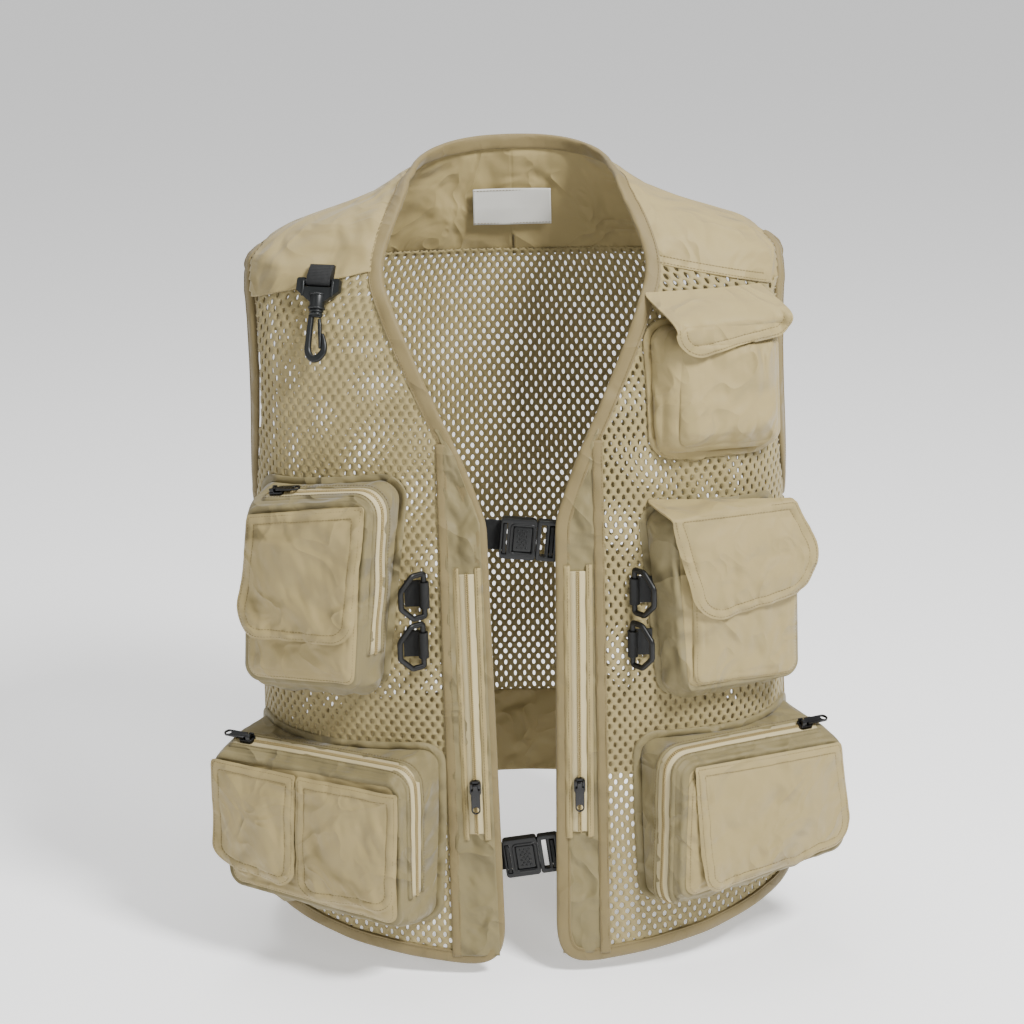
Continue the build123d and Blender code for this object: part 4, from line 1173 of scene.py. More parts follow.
def make_hem_band():
    """The plain band along the back's lower edge."""
    flat = np.arange(-BACK_FLAT, BACK_FLAT + 0.01, 3.0) + to_flat(90.0)
    share = np.linspace(0.0, 1.0, 34)
    v, u = np.meshgrid(share, flat, indexing="ij")
    angles = to_angle(u)
    x = skin_point(angles, np.full(angles.shape, HEM_CHART_Z))[..., 0]
    low = back_hem_z(x)
    heights = low + v * (BAND_TOP - low)
    lift = folds(u, heights, 26.0, 111, 1.8) * 1.3 + 0.9
    points = skin(angles, heights, lift)
    inside = (points[..., 1] > CENTRE_Y - 6.0).ravel()
    faces = [f for f in grid_faces(*angles.shape) if all(inside[k] for k in f)]
    piece = new_piece("hem_band", points.reshape(-1, 3), faces, plain_cloth)
    work = bmesh.new()
    work.from_mesh(piece.data)
    bmesh.ops.delete(work, geom=[v for v in work.verts if not v.link_faces], context="VERTS")
    work.to_mesh(piece.data)
    work.free()
    thicken(piece, 1.6, -1.0)
    line = np.arange(-300.0, 300.0, 3.0) + to_flat(90.0)
    turn = to_angle(line)
    x = skin_point(turn, np.full(turn.shape, HEM_CHART_Z))[:, 0]
    sew("hem_band", skin(turn, back_hem_z(x) + 9.0, 1.6))
    sew("hem_band", skin(turn, np.full(turn.shape, BAND_TOP - 3.0), 1.9))
    return piece


def make_side_seam(side):
    """A flat strip that covers the seam under the arm, where the front meets the back."""
    tall = np.linspace(-611.0, -286.0, 110)
    angles = angle_at_y(np.full(tall.shape, CENTRE_Y), tall, side)
    strip = [(-4.5, -0.6), (-4.2, 1.0), (-1.0, 1.5), (1.0, 1.5), (4.2, 1.0), (4.5, -0.6), (0, -2.4)]
    return band(f"{side_word(side)}_side_seam", angles, tall, strip, binding_cloth,
                swell=pucker(len(tall), 43 + side, 0.1))


def make_label():
    """A blank woven label inside the back of the neck."""
    across = np.linspace(-33.0, 33.0, 46)
    tall = np.linspace(-59.5, -28.5, 24)
    v, u = np.meshgrid(tall, across, indexing="ij")
    angles = angle_at_x(u, v, back=True)
    lift = -4.2 - 0.8 * noise(u, v, 22.0, 18.0, 3) - 0.5 * np.abs(u / 33.0) ** 4
    piece = new_piece("label", skin(angles, v, lift).reshape(-1, 3), grid_faces(*u.shape), label_cloth)
    thicken(piece, 0.6, 1.0)
    for row in (-58.0, -30.0):
        x = np.linspace(-31.5, 31.5, 40)
        sew("label", skin(angle_at_x(x, np.full(40, row), back=True), np.full(40, row), -4.9))
    return piece


# ---------------------------------------------------------------- pockets
# The base outline of a pocket is drawn this far behind its face.
POCKET_REACH = 80.0
# How far behind the face a pocket's zip runs.
ZIP_DEPTH = 17.0
SIDE_POINTS, CORNER_POINTS = 22, 10


class Stand:
    """A pocket's own directions: u along the cloth, v up, w outwards, from a spot off the skin."""

    def __init__(self, x, z, turn, standoff):
        angle = math.radians(turn)
        self.across = np.array([math.cos(angle), math.sin(angle), 0.0])
        self.up = np.array([0.0, 0.0, 1.0])
        self.out = np.array([math.sin(angle), -math.cos(angle), 0.0])
        self.spot = front_point(np.array(x), np.array(z)) + self.out * standoff

    def place(self, u, v, w):
        u, v, w = np.broadcast_arrays(*(np.asarray(a, float) for a in (u, v, w)))
        return self.spot + u[..., None] * self.across + v[..., None] * self.up + w[..., None] * self.out

    def skin_depth(self, u, v):
        """How far out the vest's skin is behind (u, v); below zero as it lies behind the face."""
        def inside(w):
            spot = self.place(u, v, w)
            x, y = spot[..., 0], spot[..., 1] - CENTRE_Y
            return np.hypot(x, y) < radius(np.degrees(np.arctan2(y, x)), spot[..., 2])

        return solve(np.full(np.shape(u), -95.0), np.full(np.shape(u), 40.0), inside)


def rounded(corners, radii, side_points=SIDE_POINTS, corner_points=CORNER_POINTS):
    """A closed outline with rounded corners, from the start of its first corner on."""
    corners = [np.asarray(c, float) for c in corners]
    run = []
    count = len(corners)
    arcs = []
    for k in range(count):
        before, here, after = corners[k - 1], corners[k], corners[(k + 1) % count]
        back, on = before - here, after - here
        back, on = back / np.linalg.norm(back), on / np.linalg.norm(on)
        half = math.acos(max(-1.0, min(1.0, float(back @ on)))) / 2
        reach = radii[k] / math.tan(half)
        start, end = here + back * reach, here + on * reach
        middle = here + (back + on) / np.linalg.norm(back + on) * radii[k] / math.sin(half)
        first, last = start - middle, end - middle
        total = math.acos(max(-1.0, min(1.0, float(first @ last) / radii[k] ** 2)))
        share = np.linspace(0, 1, corner_points, endpoint=False)[:, None]
        bent = np.sin((1 - share) * total) * first + np.sin(share * total) * last
        arcs.append(middle + bent / math.sin(total))
        run.append((start, end))
    outline = []
    for k in range(count):
        outline.append(arcs[k])
        share = np.linspace(0, 1, side_points, endpoint=False)[:, None]
        start, end = run[k][1], run[(k + 1) % count][0]
        outline.append(start + (end - start) * share)
    return np.vstack(outline)


def inset(corners, amounts):
    """Corners of the outline moved inwards, by one amount for each edge."""
    corners = np.asarray(corners, float)
    centre = corners.mean(0)
    lines = []
    count = len(corners)
    for k in range(count):
        a, b = corners[k], corners[(k + 1) % count]
        way = (b - a) / np.linalg.norm(b - a)
        normal = np.array([-way[1], way[0]])
        if (centre - a) @ normal < 0:
            normal = -normal
        lines.append((a + normal * amounts[k], way))
    moved = []
    for k in range(count):
        (p, d), (q, e) = lines[k - 1], lines[k]
        share = np.linalg.solve(np.array([d, -e]).T, q - p)[0]
        moved.append(p + d * share)
    return moved


def edge_distance(outline, u, v):
    """Distance from points to the nearest place of an outline."""
    flat_u, flat_v = np.ravel(u), np.ravel(v)
    a, b = outline, np.roll(outline, -1, 0)
    best = np.full(flat_u.shape, 1e9)
    for start, end in zip(a, b):
        way = end - start
        size = max(float(way @ way), 1e-9)
        share = np.clip(((flat_u - start[0]) * way[0] + (flat_v - start[1]) * way[1]) / size, 0, 1)
        gap_u, gap_v = flat_u - start[0] - share * way[0], flat_v - start[1] - share * way[1]
        best = np.minimum(best, np.hypot(gap_u, gap_v))
    return best.reshape(np.shape(u))


def plate_grid(outline, half):
    """Square-patterned points that fill an outline, half rows on each side of its middle."""
    count = len(outline)
    centre = outline.mean(0)
    index = np.arange(-half, half + 1)
    i, j = np.meshgrid(index, index)
    level = np.maximum(np.abs(i), np.abs(j)).astype(float)
    safe = np.maximum(level, 1)
    position = np.zeros(i.shape)
    top, right = (j == level) & (i < level), (i == level) & (j > -level)
    low, left = (j == -level) & (i > -level), (i == -level) & (j < level)
    position[top] = ((i + safe) / (2 * safe))[top]
    position[right] = 1 + ((safe - j) / (2 * safe))[right]
    position[low] = 2 + ((safe - i) / (2 * safe))[low]
    position[left] = 3 + ((j + safe) / (2 * safe))[left]
    place = (position / 4.0 * count + CORNER_POINTS / 2) % count
    k = np.floor(place).astype(int) % count
    share = (place - np.floor(place))[..., None]
    rim = outline[k] * (1 - share) + outline[(k + 1) % count] * share
    return centre + (rim - centre) * (level / half)[..., None]


def cloth_plate(name, stand, corners, radii, level, thickness, material, half=34):
    """A cut piece of cloth whose outward level is given over (u, v)."""
    outline = rounded(corners, radii)
    points = plate_grid(outline, half)
    u, v = points[..., 0], points[..., 1]
    w = level(u, v)
    size = 2 * half + 1
    faces = grid_faces(size, size)
    piece = new_piece(name, stand.place(u, v, w).reshape(-1, 3), faces, material)
    thicken(piece, thickness, 1.0)
    face_outwards(piece)
    return soften(piece, 60)


def stitched_border(outline, u, v, seed, ripple=0.45):
    """Heights of a turned and stitched border: a thick edge, a groove, puckers between stitches."""
    gap = edge_distance(outline, u, v)
    thick = 0.4 * np.exp(-((gap - 4.6) / 2.6) ** 2)
    round_off = -1.1 * np.exp(-((gap / 1.3) ** 2))
    groove = -0.6 * np.exp(-(((gap - 8.0) / 1.1) ** 2)) - 0.4 * np.exp(-(((gap - 1.9) / 0.7) ** 2))
    near = np.exp(-((gap - 7.0) / 6.5) ** 2)
    puckers = ripple * near * (noise(u, v, 4.2, 4.2, seed) + 0.6 * noise(u, v, 8.5, 8.5, seed + 1))
    return thick + round_off + groove + puckers


class BoxPocket:
    """A box pocket: walls from the vest's cloth to a swollen front."""

    def __init__(self, name, stand, face, base, corner, rim, puff, gather=0.0, slack=1.0, seed=1):
        self.name, self.stand, self.rim, self.puff, self.seed = name, stand, rim, puff, seed
        self.face, self.base = rounded(face, [corner] * 4), rounded(base, [corner] * 4)
        self.face_corners = face
        self.corner = corner
        self.gather, self.slack = gather, slack
        count = len(self.face)
        steps = np.linalg.norm(np.diff(np.vstack([self.face, self.face[:1]]), axis=0), axis=1)
        self.run = np.concatenate([[0.0], np.cumsum(steps)])[:count]
        way = np.roll(self.face, -1, 0) - np.roll(self.face, 1, 0)
        normal = unit(np.stack([-way[:, 1], way[:, 0]], 1))
        middle = self.face.mean(0)
        outward = np.sign(((self.face - middle) * normal).sum(1, keepdims=True))
        self.outward = normal * outward
        # Where the walls meet the vest.
        depth = np.full(count, -30.0)
        for _ in range(6):
            ring = self.ring(depth)
            depth = stand.skin_depth(ring[:, 0], ring[:, 1])
        self.depth = depth

    def ring(self, depth):
        """The wall's outline at a depth: between the face's outline and the base's."""
        share = np.clip(-depth / POCKET_REACH, 0, 2)[:, None]
        return self.face + (self.base - self.face) * share

    def wall(self, share):
        """The wall's points at a share of the way from the vest, 0, to the rim, 1."""
        depth = self.depth * (1 - share) - self.rim * share
        ring = self.ring(depth)
        swell = math.sin(math.pi * min(max(share, 0), 1))
        slope = self.outward[:, 1]
        bulge = swell * self.slack * (1.0 + 3.0 * np.clip(-slope, 0, 1) + 1.0 * (1 - np.abs(slope)))
        creases = folds(self.run, np.full(self.run.shape, share * 30.0), 15.0, self.seed, 2.2, 25.0)
        creases = creases + 0.5 * noise(self.run, share * 18.0 + 0 * self.run, 7.0, 9.0, self.seed + 5)
        quiet = 1.0 - 0.95 * self.near_zip(share)
        move = bulge + creases * swell * 1.9 * self.slack * quiet
        ring = ring + self.outward * move[:, None]
        return self.stand.place(ring[:, 0], ring[:, 1], depth + creases * swell * 0.8 * self.slack * quiet)

    def near_zip(self, share):
        """1 on the zip's own line, and less away from it, so that the wall lies calm there."""
        depth = self.depth * (1 - share) - self.rim * share
        return np.exp(-(((-depth - ZIP_DEPTH) / 9.0) ** 2)) * np.clip(self.outward[:, 1] + 0.4, 0, 1)

    def make_gusset(self, material):
        """The walls, with a stitched foot on the vest and a rolled seam at the front."""
        rings = [self.flange(5.5, 0.1), self.flange(5.2, 1.2), self.flange(2.0, 1.7)]
        for share in np.linspace(0.02, 1.0, 18):
            rings.append(self.wall(share))
        for turn in np.linspace(0.15, 1.0, 7):
            angle = turn * math.pi / 2
            ring = self.face - self.outward * (self.rim * (1 - math.cos(angle)))
            w = -self.rim * (1 - math.sin(angle))
            ridge = (0.2 if self.gather else 1.3) * math.exp(-(((turn - 0.62) / 0.2) ** 2))
            ring = ring + self.outward * ridge * 0.7
            rings.append(self.stand.place(ring[:, 0], ring[:, 1], w + ridge * 0.8))
        count = len(self.face)
        points = np.vstack(rings)
        piece = new_piece(f"{self.name}_walls", points, grid_faces(len(rings), count, wrap=True), material)
        thicken(piece, 1.2, -1.0)
        face_outwards(piece)
        foot = self.flange(3.6, 1.9)
        sew("pocket_feet", np.vstack([foot, foot[:1]]))
        return soften(piece, 60)

    def flange(self, reach, lift):
        """The walls' foot, turned outwards on the vest."""
        ring = self.ring(self.depth) + self.outward * reach
        depth = self.stand.skin_depth(ring[:, 0], ring[:, 1])
        return self.stand.place(ring[:, 0], ring[:, 1], depth + lift)

    def front_level(self, u, v, gathered=True):
        """The outward level of the front: swollen, with soft folds and gathers at its ends."""
        gap = edge_distance(self.face, u, v)
        start = self.rim * 0.5
        swell = 1 - np.exp(-np.maximum(gap - start, 0) / 10.0)
        level = self.puff * swell + 0.035 * np.minimum(gap, 50)
        if self.gather:
            # A soft bag's front carries on from the round of its walls, with no seam between them.
            level = level - self.rim * (1 - np.sqrt(1 - (1 - np.clip(gap / self.rim, 0, 1)) ** 2)) + 0.2
        soft = folds(u, v, 27.0, self.seed + 9, 1.8, 15.0) * np.clip(gap / 16.0, 0, 1) * 1.7 * self.slack
        low, high = self.face[:, 1].min(), self.face[:, 1].max()
        if self.gather and gathered:
            # The bag hangs full near its lower edge and tucks in under itself.
            full = 5.0 * np.exp(-(((v - low - 30.0) / 17.0) ** 2))
            level = level + full * np.clip((gap - start) / 12.0, 0, 1)
            reach_low, reach_high = np.exp(-(v - low) / 17.0), np.exp(-(high - v) / 20.0)
            pleats = noise(u, v, 5.5, 60.0, self.seed + 20) + 0.5 * noise(u, v, 2.9, 40.0, self.seed + 21)
            soft = soft + self.gather * pleats * (reach_low + reach_high) * np.clip(gap / 8.0 - 1.0, 0, 1)
        return level + soft * np.clip(gap / 5.0, 0, 1)

    def make_front(self, material):
        """The pocket's front cloth, inside the round of its walls."""
        reach = self.rim * (0.55 if self.gather else 0.9)
        corners = inset(self.face_corners, [reach] * 4)
        radius_in = max(self.corner - reach, 2.0)
        return cloth_plate(f"{self.name}_front", self.stand, corners, [radius_in] * 4,
                           lambda u, v: self.front_level(u, v) - 1.2, 1.2, material)

    def zip_run(self, first, last):
        """The line round the walls where the zip lies, its outward normals and sideways directions."""
        shares = np.clip((self.depth + ZIP_DEPTH) / (self.depth + self.rim), 0.12, 0.9)
        steps = 40
        grid = np.stack([self.wall(share) for share in np.linspace(0, 1, steps + 1)])
        position = shares * steps
        k = np.floor(position).astype(int)
        part = (position - k)[:, None]
        column = np.arange(len(self.face))
        line = grid[k, column] * (1 - part) + grid[k + 1, column] * part
        inwards = grid[k + 1, column] - grid[k, column]
        order = np.arange(first, last) % len(self.face)
        spots, side = line[order], inwards[order]
        for step in range(16):
            if step < 3:
                spots[1:-1] = (spots[:-2] + 2 * spots[1:-1] + spots[2:]) / 4
            side[1:-1] = (side[:-2] + 2 * side[1:-1] + side[2:]) / 4
        along = np.gradient(spots, axis=0)
        normal = unit(np.cross(side, along))
        away = self.outward[order][:, 0:1] * self.stand.across + self.outward[order][:, 1:2] * self.stand.up
        normal *= np.sign((normal * away).sum(1, keepdims=True))
        return spots, unit(np.cross(normal, along)), normal


def make_zip(name, run):
    """Tape, coil and the folds beside them along a line with its own directions."""
    spots, across, normals = run
    tape = [(-7.6, -1.6), (-7.5, 1.4), (-2.4, 1.7), (-1.9, 2.0), (1.9, 2.0), (2.4, 1.7), (7.5, 1.4),
            (7.6, -1.6)]
    pieces = [sweep(f"{name}_tape", spots, across, normals, tape, tape_cloth)]
    pieces.append(rows_of(f"{name}_teeth", teeth_lines(spots, across, normals, 2.4), tooth_shape,
                          TOOTH_STEP, coil_plastic))
    for sign in (-1, 1):
        fold = [(sign * 6.2, 0.0), (sign * 6.1, 2.1), (sign * 7.0, 2.8), (sign * 9.0, 2.5),
                (sign * 10.8, 1.1), (sign * 11.2, -1.6)]
        swell = 1.0 + 0.12 * noise(np.arange(len(spots)), np.zeros(len(spots)), 3.0, 3.0, 60 + sign)
        # The zip's folds wear the darker khaki that paints the shade of the pocket walls.
        pieces.append(sweep(f"{name}_fold", spots, across, normals, fold, box_cloth, swell))
        sew("pocket_zips", spots + across * (sign * 8.2) + normals * 2.95)
    return join_pieces(f"{name}_zip", pieces)


def make_flap(name, stand, corners, radii, level, seed, curl, top_gather, stitched=(2.0, 8.0), ripple=0.5):
    """A flap sewn along its first edge; its free edges are turned, stitched and a little curled.

    Returns the piece and the function that gives its outward level.
    """
    outline = rounded(corners, radii)
    top_a, top_b = np.asarray(corners[0], float), np.asarray(corners[1], float)
    way = (top_b - top_a) / np.linalg.norm(top_b - top_a)
    down = np.array([way[1], -way[0]])
    far = max(float((np.asarray(c, float) - top_a) @ down) for c in corners[2:])

    def height(u, v):
        fall = ((u - top_a[0]) * down[0] + (v - top_a[1]) * down[1]) / far
        fall = np.clip(fall, 0, 1)
        along = (u - top_a[0]) * way[0] + (v - top_a[1]) * way[1]
        width = np.linalg.norm(top_b - top_a)
        side = np.clip(np.abs(along / width - 0.5) * 2, 0, 1.3)
        border = stitched_border(outline, u, v, seed, ripple)
        fade = np.clip(fall * 9.0, 0, 1)
        swell = 3.0 * np.sin(math.pi * np.clip(fall, 0, 1)) * (1 - side**2)
        bend = curl * fall**3 * (0.5 + 0.5 * side**2) + 1.2 * noise(u, v, 38.0, 44.0, seed + 4) * fall
        hang = folds(u, v, 24.0, seed + 7, 1.8, 24.0) * 2.4 * np.clip(fall * 2, 0, 1)
        gathers = top_gather * noise(u, v, 9.5, 60.0, seed + 12) * np.exp(-fall * 3.2)
        root = -1.6 * np.exp(-((fall * far / 3.0) ** 2))
        return level(u, v) + border * fade + swell + bend + hang + root + gathers

    piece = cloth_plate(name, stand, corners, radii, height, 1.5, plain_cloth, 40)
    for gap in stitched:
        inner = rounded(inset(corners, [max(gap * 0.9, 1.8)] + [gap] * 3), [max(r - gap, 1.5) for r in radii])
        u, v = np.vstack([inner, inner[:1]]).T
        sew(name, stand.place(u, v, height(u, v) + 1.75))
    return piece, height


# ---------------------------------------------------------------- plastic and metal pieces
record_joints = {joint["name"]: joint for joint in frame["record"]["behaviour"]["joints"]}


SHARP_EDGE = 40.0


def refined(name, node, material, width, rounds):
    """A finer copy of a CAD piece: flat faces made whole, every sharp edge rounded off."""
    source = nodes[node]
    work = bmesh.new()
    work.from_mesh(source.data)
    bmesh.ops.transform(work, matrix=source.matrix_world, verts=work.verts)
    bmesh.ops.remove_doubles(work, verts=work.verts, dist=2e-6)
    bmesh.ops.dissolve_limit(work, angle_limit=math.radians(1.5), verts=work.verts, edges=work.edges)
    mesh = bpy.data.meshes.new(name)
    work.to_mesh(mesh)
    work.free()
    mesh.materials.append(material)
    piece = add_object(name, mesh)
    round_off = piece.modifiers.new("edges", "BEVEL")
    round_off.width = width * MM
    round_off.segments = rounds
    round_off.limit_method = "ANGLE"
    round_off.angle_limit = math.radians(SHARP_EDGE)
    round_off.use_clamp_overlap = True
    bake(piece)
    return soften(piece, 32)


class Axes:
    """A place with its own x, y and z, in millimetres."""

    def __init__(self, spot, x, z):
        self.spot = np.asarray(spot, float)
        self.z = np.asarray(z, float) / np.linalg.norm(z)
        x = np.asarray(x, float)
        x = x - self.z * (x @ self.z)
        self.x = x / np.linalg.norm(x)
        self.y = np.cross(self.z, self.x)

    def place(self, points):
        points = np.asarray(points, float)
        return self.spot + points[..., 0:1] * self.x + points[..., 1:2] * self.y + points[..., 2:3] * self.z


def rod(name, axes, path, widths, depths, material, sides=14, square=2.6, capped=0.8):
    """A moulded bar along a flat path, its section a rounded rectangle that may taper."""
    path = np.asarray(path, float)
    along = unit(np.gradient(path, axis=0))
    side = np.stack([-along[:, 1], along[:, 0]], 1)
    turns = 2 * math.pi * np.arange(sides) / sides
    power = 2.0 / square
    cx = np.sign(np.cos(turns)) * np.abs(np.cos(turns)) ** power
    cz = np.sign(np.sin(turns)) * np.abs(np.sin(turns)) ** power
    rings = []

    def ring(k, scale, shift):
        centre = path[k] + along[k] * shift
        flat = centre + side[k] * (cx * widths[k] / 2 * scale)[:, None]
        return np.column_stack([flat, cz * depths[k] / 2 * scale])

    last = len(path) - 1
    for turn in (0.15, 0.5, 0.8):
        rings.append(ring(0, math.sin(turn * math.pi / 2), -capped * math.cos(turn * math.pi / 2)))
    rings.extend(ring(k, 1.0, 0.0) for k in range(last + 1))
    for turn in (0.8, 0.5, 0.15):
        rings.append(ring(last, math.sin(turn * math.pi / 2), capped * math.cos(turn * math.pi / 2)))
    points = axes.place(np.vstack(rings))
    faces = grid_faces(len(rings), sides, wrap=True)
    faces.append(tuple(range(sides))[::-1])
    faces.append(tuple((len(rings) - 1) * sides + k for k in range(sides)))
    piece = new_piece(name, points, faces, material)
    face_outwards(piece)
    return soften(piece, 45)


def turned(name, axes, outline, material, sides=40):
    """A piece turned about the axes' y; outline gives (radius, y) from one end to the other."""
    points = []
    for distance, y in outline:
        for k in range(sides):
            turn = 2 * math.pi * k / sides
            points.append((distance * math.cos(turn), y, distance * math.sin(turn)))
    faces = grid_faces(len(outline), sides, wrap=True)
    faces.append(tuple(range(sides))[::-1])
    faces.append(tuple((len(outline) - 1) * sides + k for k in range(sides)))
    piece = new_piece(name, axes.place(points), faces, material)
    face_outwards(piece)
    return soften(piece, 40)


def closed_rod(name, axes, outline, width, depth, material, sides=16, square=2.3):
    """A moulded bar round a closed flat outline."""
    before, after = np.roll(outline, 1, 0), np.roll(outline, -1, 0)
    along = unit(after - before)
    side = np.stack([-along[:, 1], along[:, 0]], 1)
    turns = 2 * math.pi * np.arange(sides) / sides
    power = 2.0 / square
    cx = np.sign(np.cos(turns)) * np.abs(np.cos(turns)) ** power * width / 2
    cz = np.sign(np.sin(turns)) * np.abs(np.sin(turns)) ** power * depth / 2
    flat = outline[:, None, :] + side[:, None, :] * cx[None, :, None]
    points = np.concatenate([flat, np.broadcast_to(cz[None, :, None], flat.shape[:2] + (1,))], -1)
    count = len(outline)
    faces = grid_faces(count, sides, wrap=True)
    last = (count - 1) * sides
    faces.extend((last + k, last + (k + 1) % sides, (k + 1) % sides, k) for k in range(sides))
    piece = new_piece(name, axes.place(points.reshape(-1, 3)), faces, material)
    face_outwards(piece)
    return soften(piece, 60)


def make_d_ring(name, side, raised):
    """A black D ring with a round bar, its corners rounded, on the tab's eye."""
    spot = np.array(record_joints[f"{name}_swing"]["pos_m"]) * 1000
    rise = math.radians(raised)
    axes = Axes(spot, (side * math.cos(rise), -math.sin(rise), 0),
                (math.sin(rise), side * math.cos(rise), 0))
    half, reach, straight = 18.2, 22.6, 11.15
    corners = [(0, half), (straight, half), (reach, 0.4 * half), (reach, -0.4 * half), (straight, -half),
               (0, -half)]
    outline = rounded(corners, [2.0, 4.0, 4.5, 4.5, 4.0, 2.0], 7, 6)
    return closed_rod(f"{name}_bar", axes, outline, 4.7, 4.0, black_plastic)


def make_pips(name, axes, spots, size, height, material):
    """Small raised grip bumps."""
    pips = []
    for number, (x, y, z) in enumerate(spots):
        rings = [(size, -0.3), (size, 0.0), (size * 0.86, height * 0.6), (size * 0.5, height * 0.95),
                 (0.05, height)]
        local = Axes(axes.place(np.array([[x, y, z]]))[0], axes.x, -axes.y)
        pips.append(turned(f"{name}_{number}", local, rings, material, 12))
    return join_pieces(name, pips)


def dress_buckle(word):
    """The buckle's pieces with rounded edges, a raised frame, grip bumps and ribbed webbing."""
    joint = record_joints[f"{word}_buckle_release"]
    tongue_body = f"{word}_tongue"
    along = np.array(joint["axis"])
    housing = refined(f"{word}_buckle_body", f"{word}_buckle_housing", black_plastic, 0.9, 3)
    low, high = (np.array(c) * 1000 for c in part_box(f"{word}_buckle_button"))
    centre = (low + high) / 2
    front = low[1]
    axes = Axes((centre[0], front, centre[2]), along, (0, -1, 0))
    frame_line = rounded([(-9.4, 12.4), (9.4, 12.4), (9.4, -12.4), (-9.4, -12.4)], [3.0] * 4, 10, 6)
    frame_axes = Axes(axes.spot + axes.z * 0.25, axes.x, axes.z)
    rim = closed_rod(f"{word}_frame", frame_axes, frame_line, 2.2, 1.7, black_plastic, 12)
    settle(join_pieces(f"{word}_buckle_housing_shape", [housing, rim]), "vest", "black_plastic",
           f"{word}_buckle_housing")
    button = refined(f"{word}_button", f"{word}_buckle_button", black_plastic, 0.7, 3)
    spots = []
    for row in range(7):
        across = (-3.6, 0.0, 3.6) if row % 2 == 0 else (-1.8, 1.8)
        spots.extend((x, -7.2 + row * 2.4, 0.0) for x in across)
    pips = make_pips(f"{word}_pips", axes, spots, 0.95, 0.7, black_plastic)
    settle(join_pieces(f"{word}_button_shape", [button, pips]), f"{word}_buckle_button", "black_plastic",
           f"{word}_buckle_button")
    tongue = refined(f"{word}_tongue_shape", f"{word}_buckle_tongue", black_plastic, 0.6, 3)
    tip = Axes(axes.spot + axes.x * 19.2 + axes.z * -0.1, axes.x, axes.z)
    spots = [(0, y, 0) for y in np.arange(-12.6, 12.7, 2.1)]
    grips = make_pips(f"{word}_grips", tip, spots, 0.8, 0.8, black_plastic)
    settle(join_pieces(f"{word}_tongue_all", [tongue, grips]), tongue_body, "black_plastic",
           f"{word}_buckle_tongue")
    settle(refined(f"{word}_strap_cloth", f"{word}_buckle_strap", black_webbing, 0.35, 2), tongue_body,
           "webbing", f"{word}_buckle_strap")


def hook_axes():
    """The snap hook's own directions: x across, y up its stem, z away from the cloth."""
    swivel, lift = record_joints["hook_swivel"], record_joints["hook_lift"]
    up = np.array(swivel["axis"])
    across = -np.array(lift["axis"])
    return Axes(np.array(swivel["pos_m"]) * 1000, across, np.cross(across, up))


def make_snap_hook():
    """A moulded hook with a rounded section, a collar above it and a springy gate inside it."""
    axes = hook_axes()
    count = 60
    points = smooth_line([(-3.6, -5.0), (-3.75, -14.0), (-3.8, -24.0), (-3.4, -33.0), (0.2, -38.6),
                          (5.4, -38.4), (9.3, -33.5), (9.9, -28.5), (9.0, -23.6), (7.5, -19.4)], count)
    share = np.linspace(0, 1, count)
    widths = np.interp(share, [0, 0.35, 0.6, 0.78, 1.0], [4.4, 4.9, 6.2, 5.4, 2.2])
    depths = np.interp(share, [0, 0.35, 0.65, 1.0], [5.0, 5.0, 5.2, 3.6])
    bar = rod("hook_bar", axes, points, widths, depths, hook_plastic, 18, 2.8)
    top = rod("hook_shoulder", axes, [(-4.2, -4.6), (-2.0, -3.6), (0.0, -3.4), (2.4, -3.8), (4.4, -4.6)],
              np.array([4.2, 5.2, 5.6, 5.2, 4.0]), np.array([4.8, 5.0, 5.2, 5.0, 4.6]), hook_plastic, 16, 3.2)
    collar = turned("hook_collar", axes, [(0.2, 0.0), (5.2, -0.2), (5.8, -0.8), (5.8, -1.6), (5.2, -2.0),
                                          (4.6, -2.2), (4.6, -2.7), (5.2, -2.9), (5.7, -3.4), (5.4, -4.2),
                                          (4.0, -4.8), (0.2, -5.0)], hook_plastic)
    pin = turned("hook_pin", axes, [(0.2, 5.9), (3.6, 5.8), (4.0, 5.4), (4.0, 3.8), (2.6, 3.4), (2.6, -1.0),
                                    (0.2, -1.2)], hook_plastic)
    settle(join_pieces("snap_hook_shape", [bar, top, collar, pin]), "snap_hook", "black_plastic", "snap_hook")
    count = 30
    path = smooth_line([(3.6, -7.6), (4.4, -13.0), (5.3, -20.0), (6.1, -26.0), (6.5, -30.4)], count)
    widths = np.interp(np.linspace(0, 1, count), [0, 0.2, 1], [2.6, 3.2, 2.2])
    gate = rod("hook_gate_shape", axes, path, widths, np.full(count, 3.8), hook_plastic, 14, 2.8, 0.5)
    settle(gate, "hook_gate", "black_plastic", "hook_gate")


def make_hook_base():
    """The plate and barrel that the hook turns in, with ribs and its cross bar."""
    plate = refined("hook_plate", "hook_base", hook_plastic, 1.1, 3)
    axes = hook_axes()
    parts = [plate]
    for y in (1.2, 12.2):
        parts.append(turned(f"barrel_ring_{int(y)}", axes,
                            [(3.2, y - 0.9), (6.5, y - 0.8), (6.9, y - 0.3), (6.9, y + 0.3), (6.5, y + 0.8),
                             (3.2, y + 0.9)], hook_plastic))
    on_plate = Axes(axes.spot + axes.z * 3.0, axes.x, axes.z)
    for x in (-12.6, 12.6):
        parts.append(rod(f"rib_{int(x)}", on_plate, [(x, 11.0), (x * 0.98, 15.0), (x, 22.0)],
                         [2.2, 2.4, 2.2], [1.6, 1.8, 1.6], hook_plastic, 10))
    settle(join_pieces("hook_base_shape", parts), "hook_base", "black_plastic", "hook_base")


def make_small_webbing():
    """Webbing of the rings, the hook and the fixed side of the buckles."""
    for name, node in (("ring_tabs", "d_ring_tabs"), ("hook_webbing", "hook_webbing"),
                       ("fixed_straps", "fixed_straps")):
        settle(refined(f"{name}_cloth", node, black_webbing, 0.3, 2), "vest", "webbing", node)


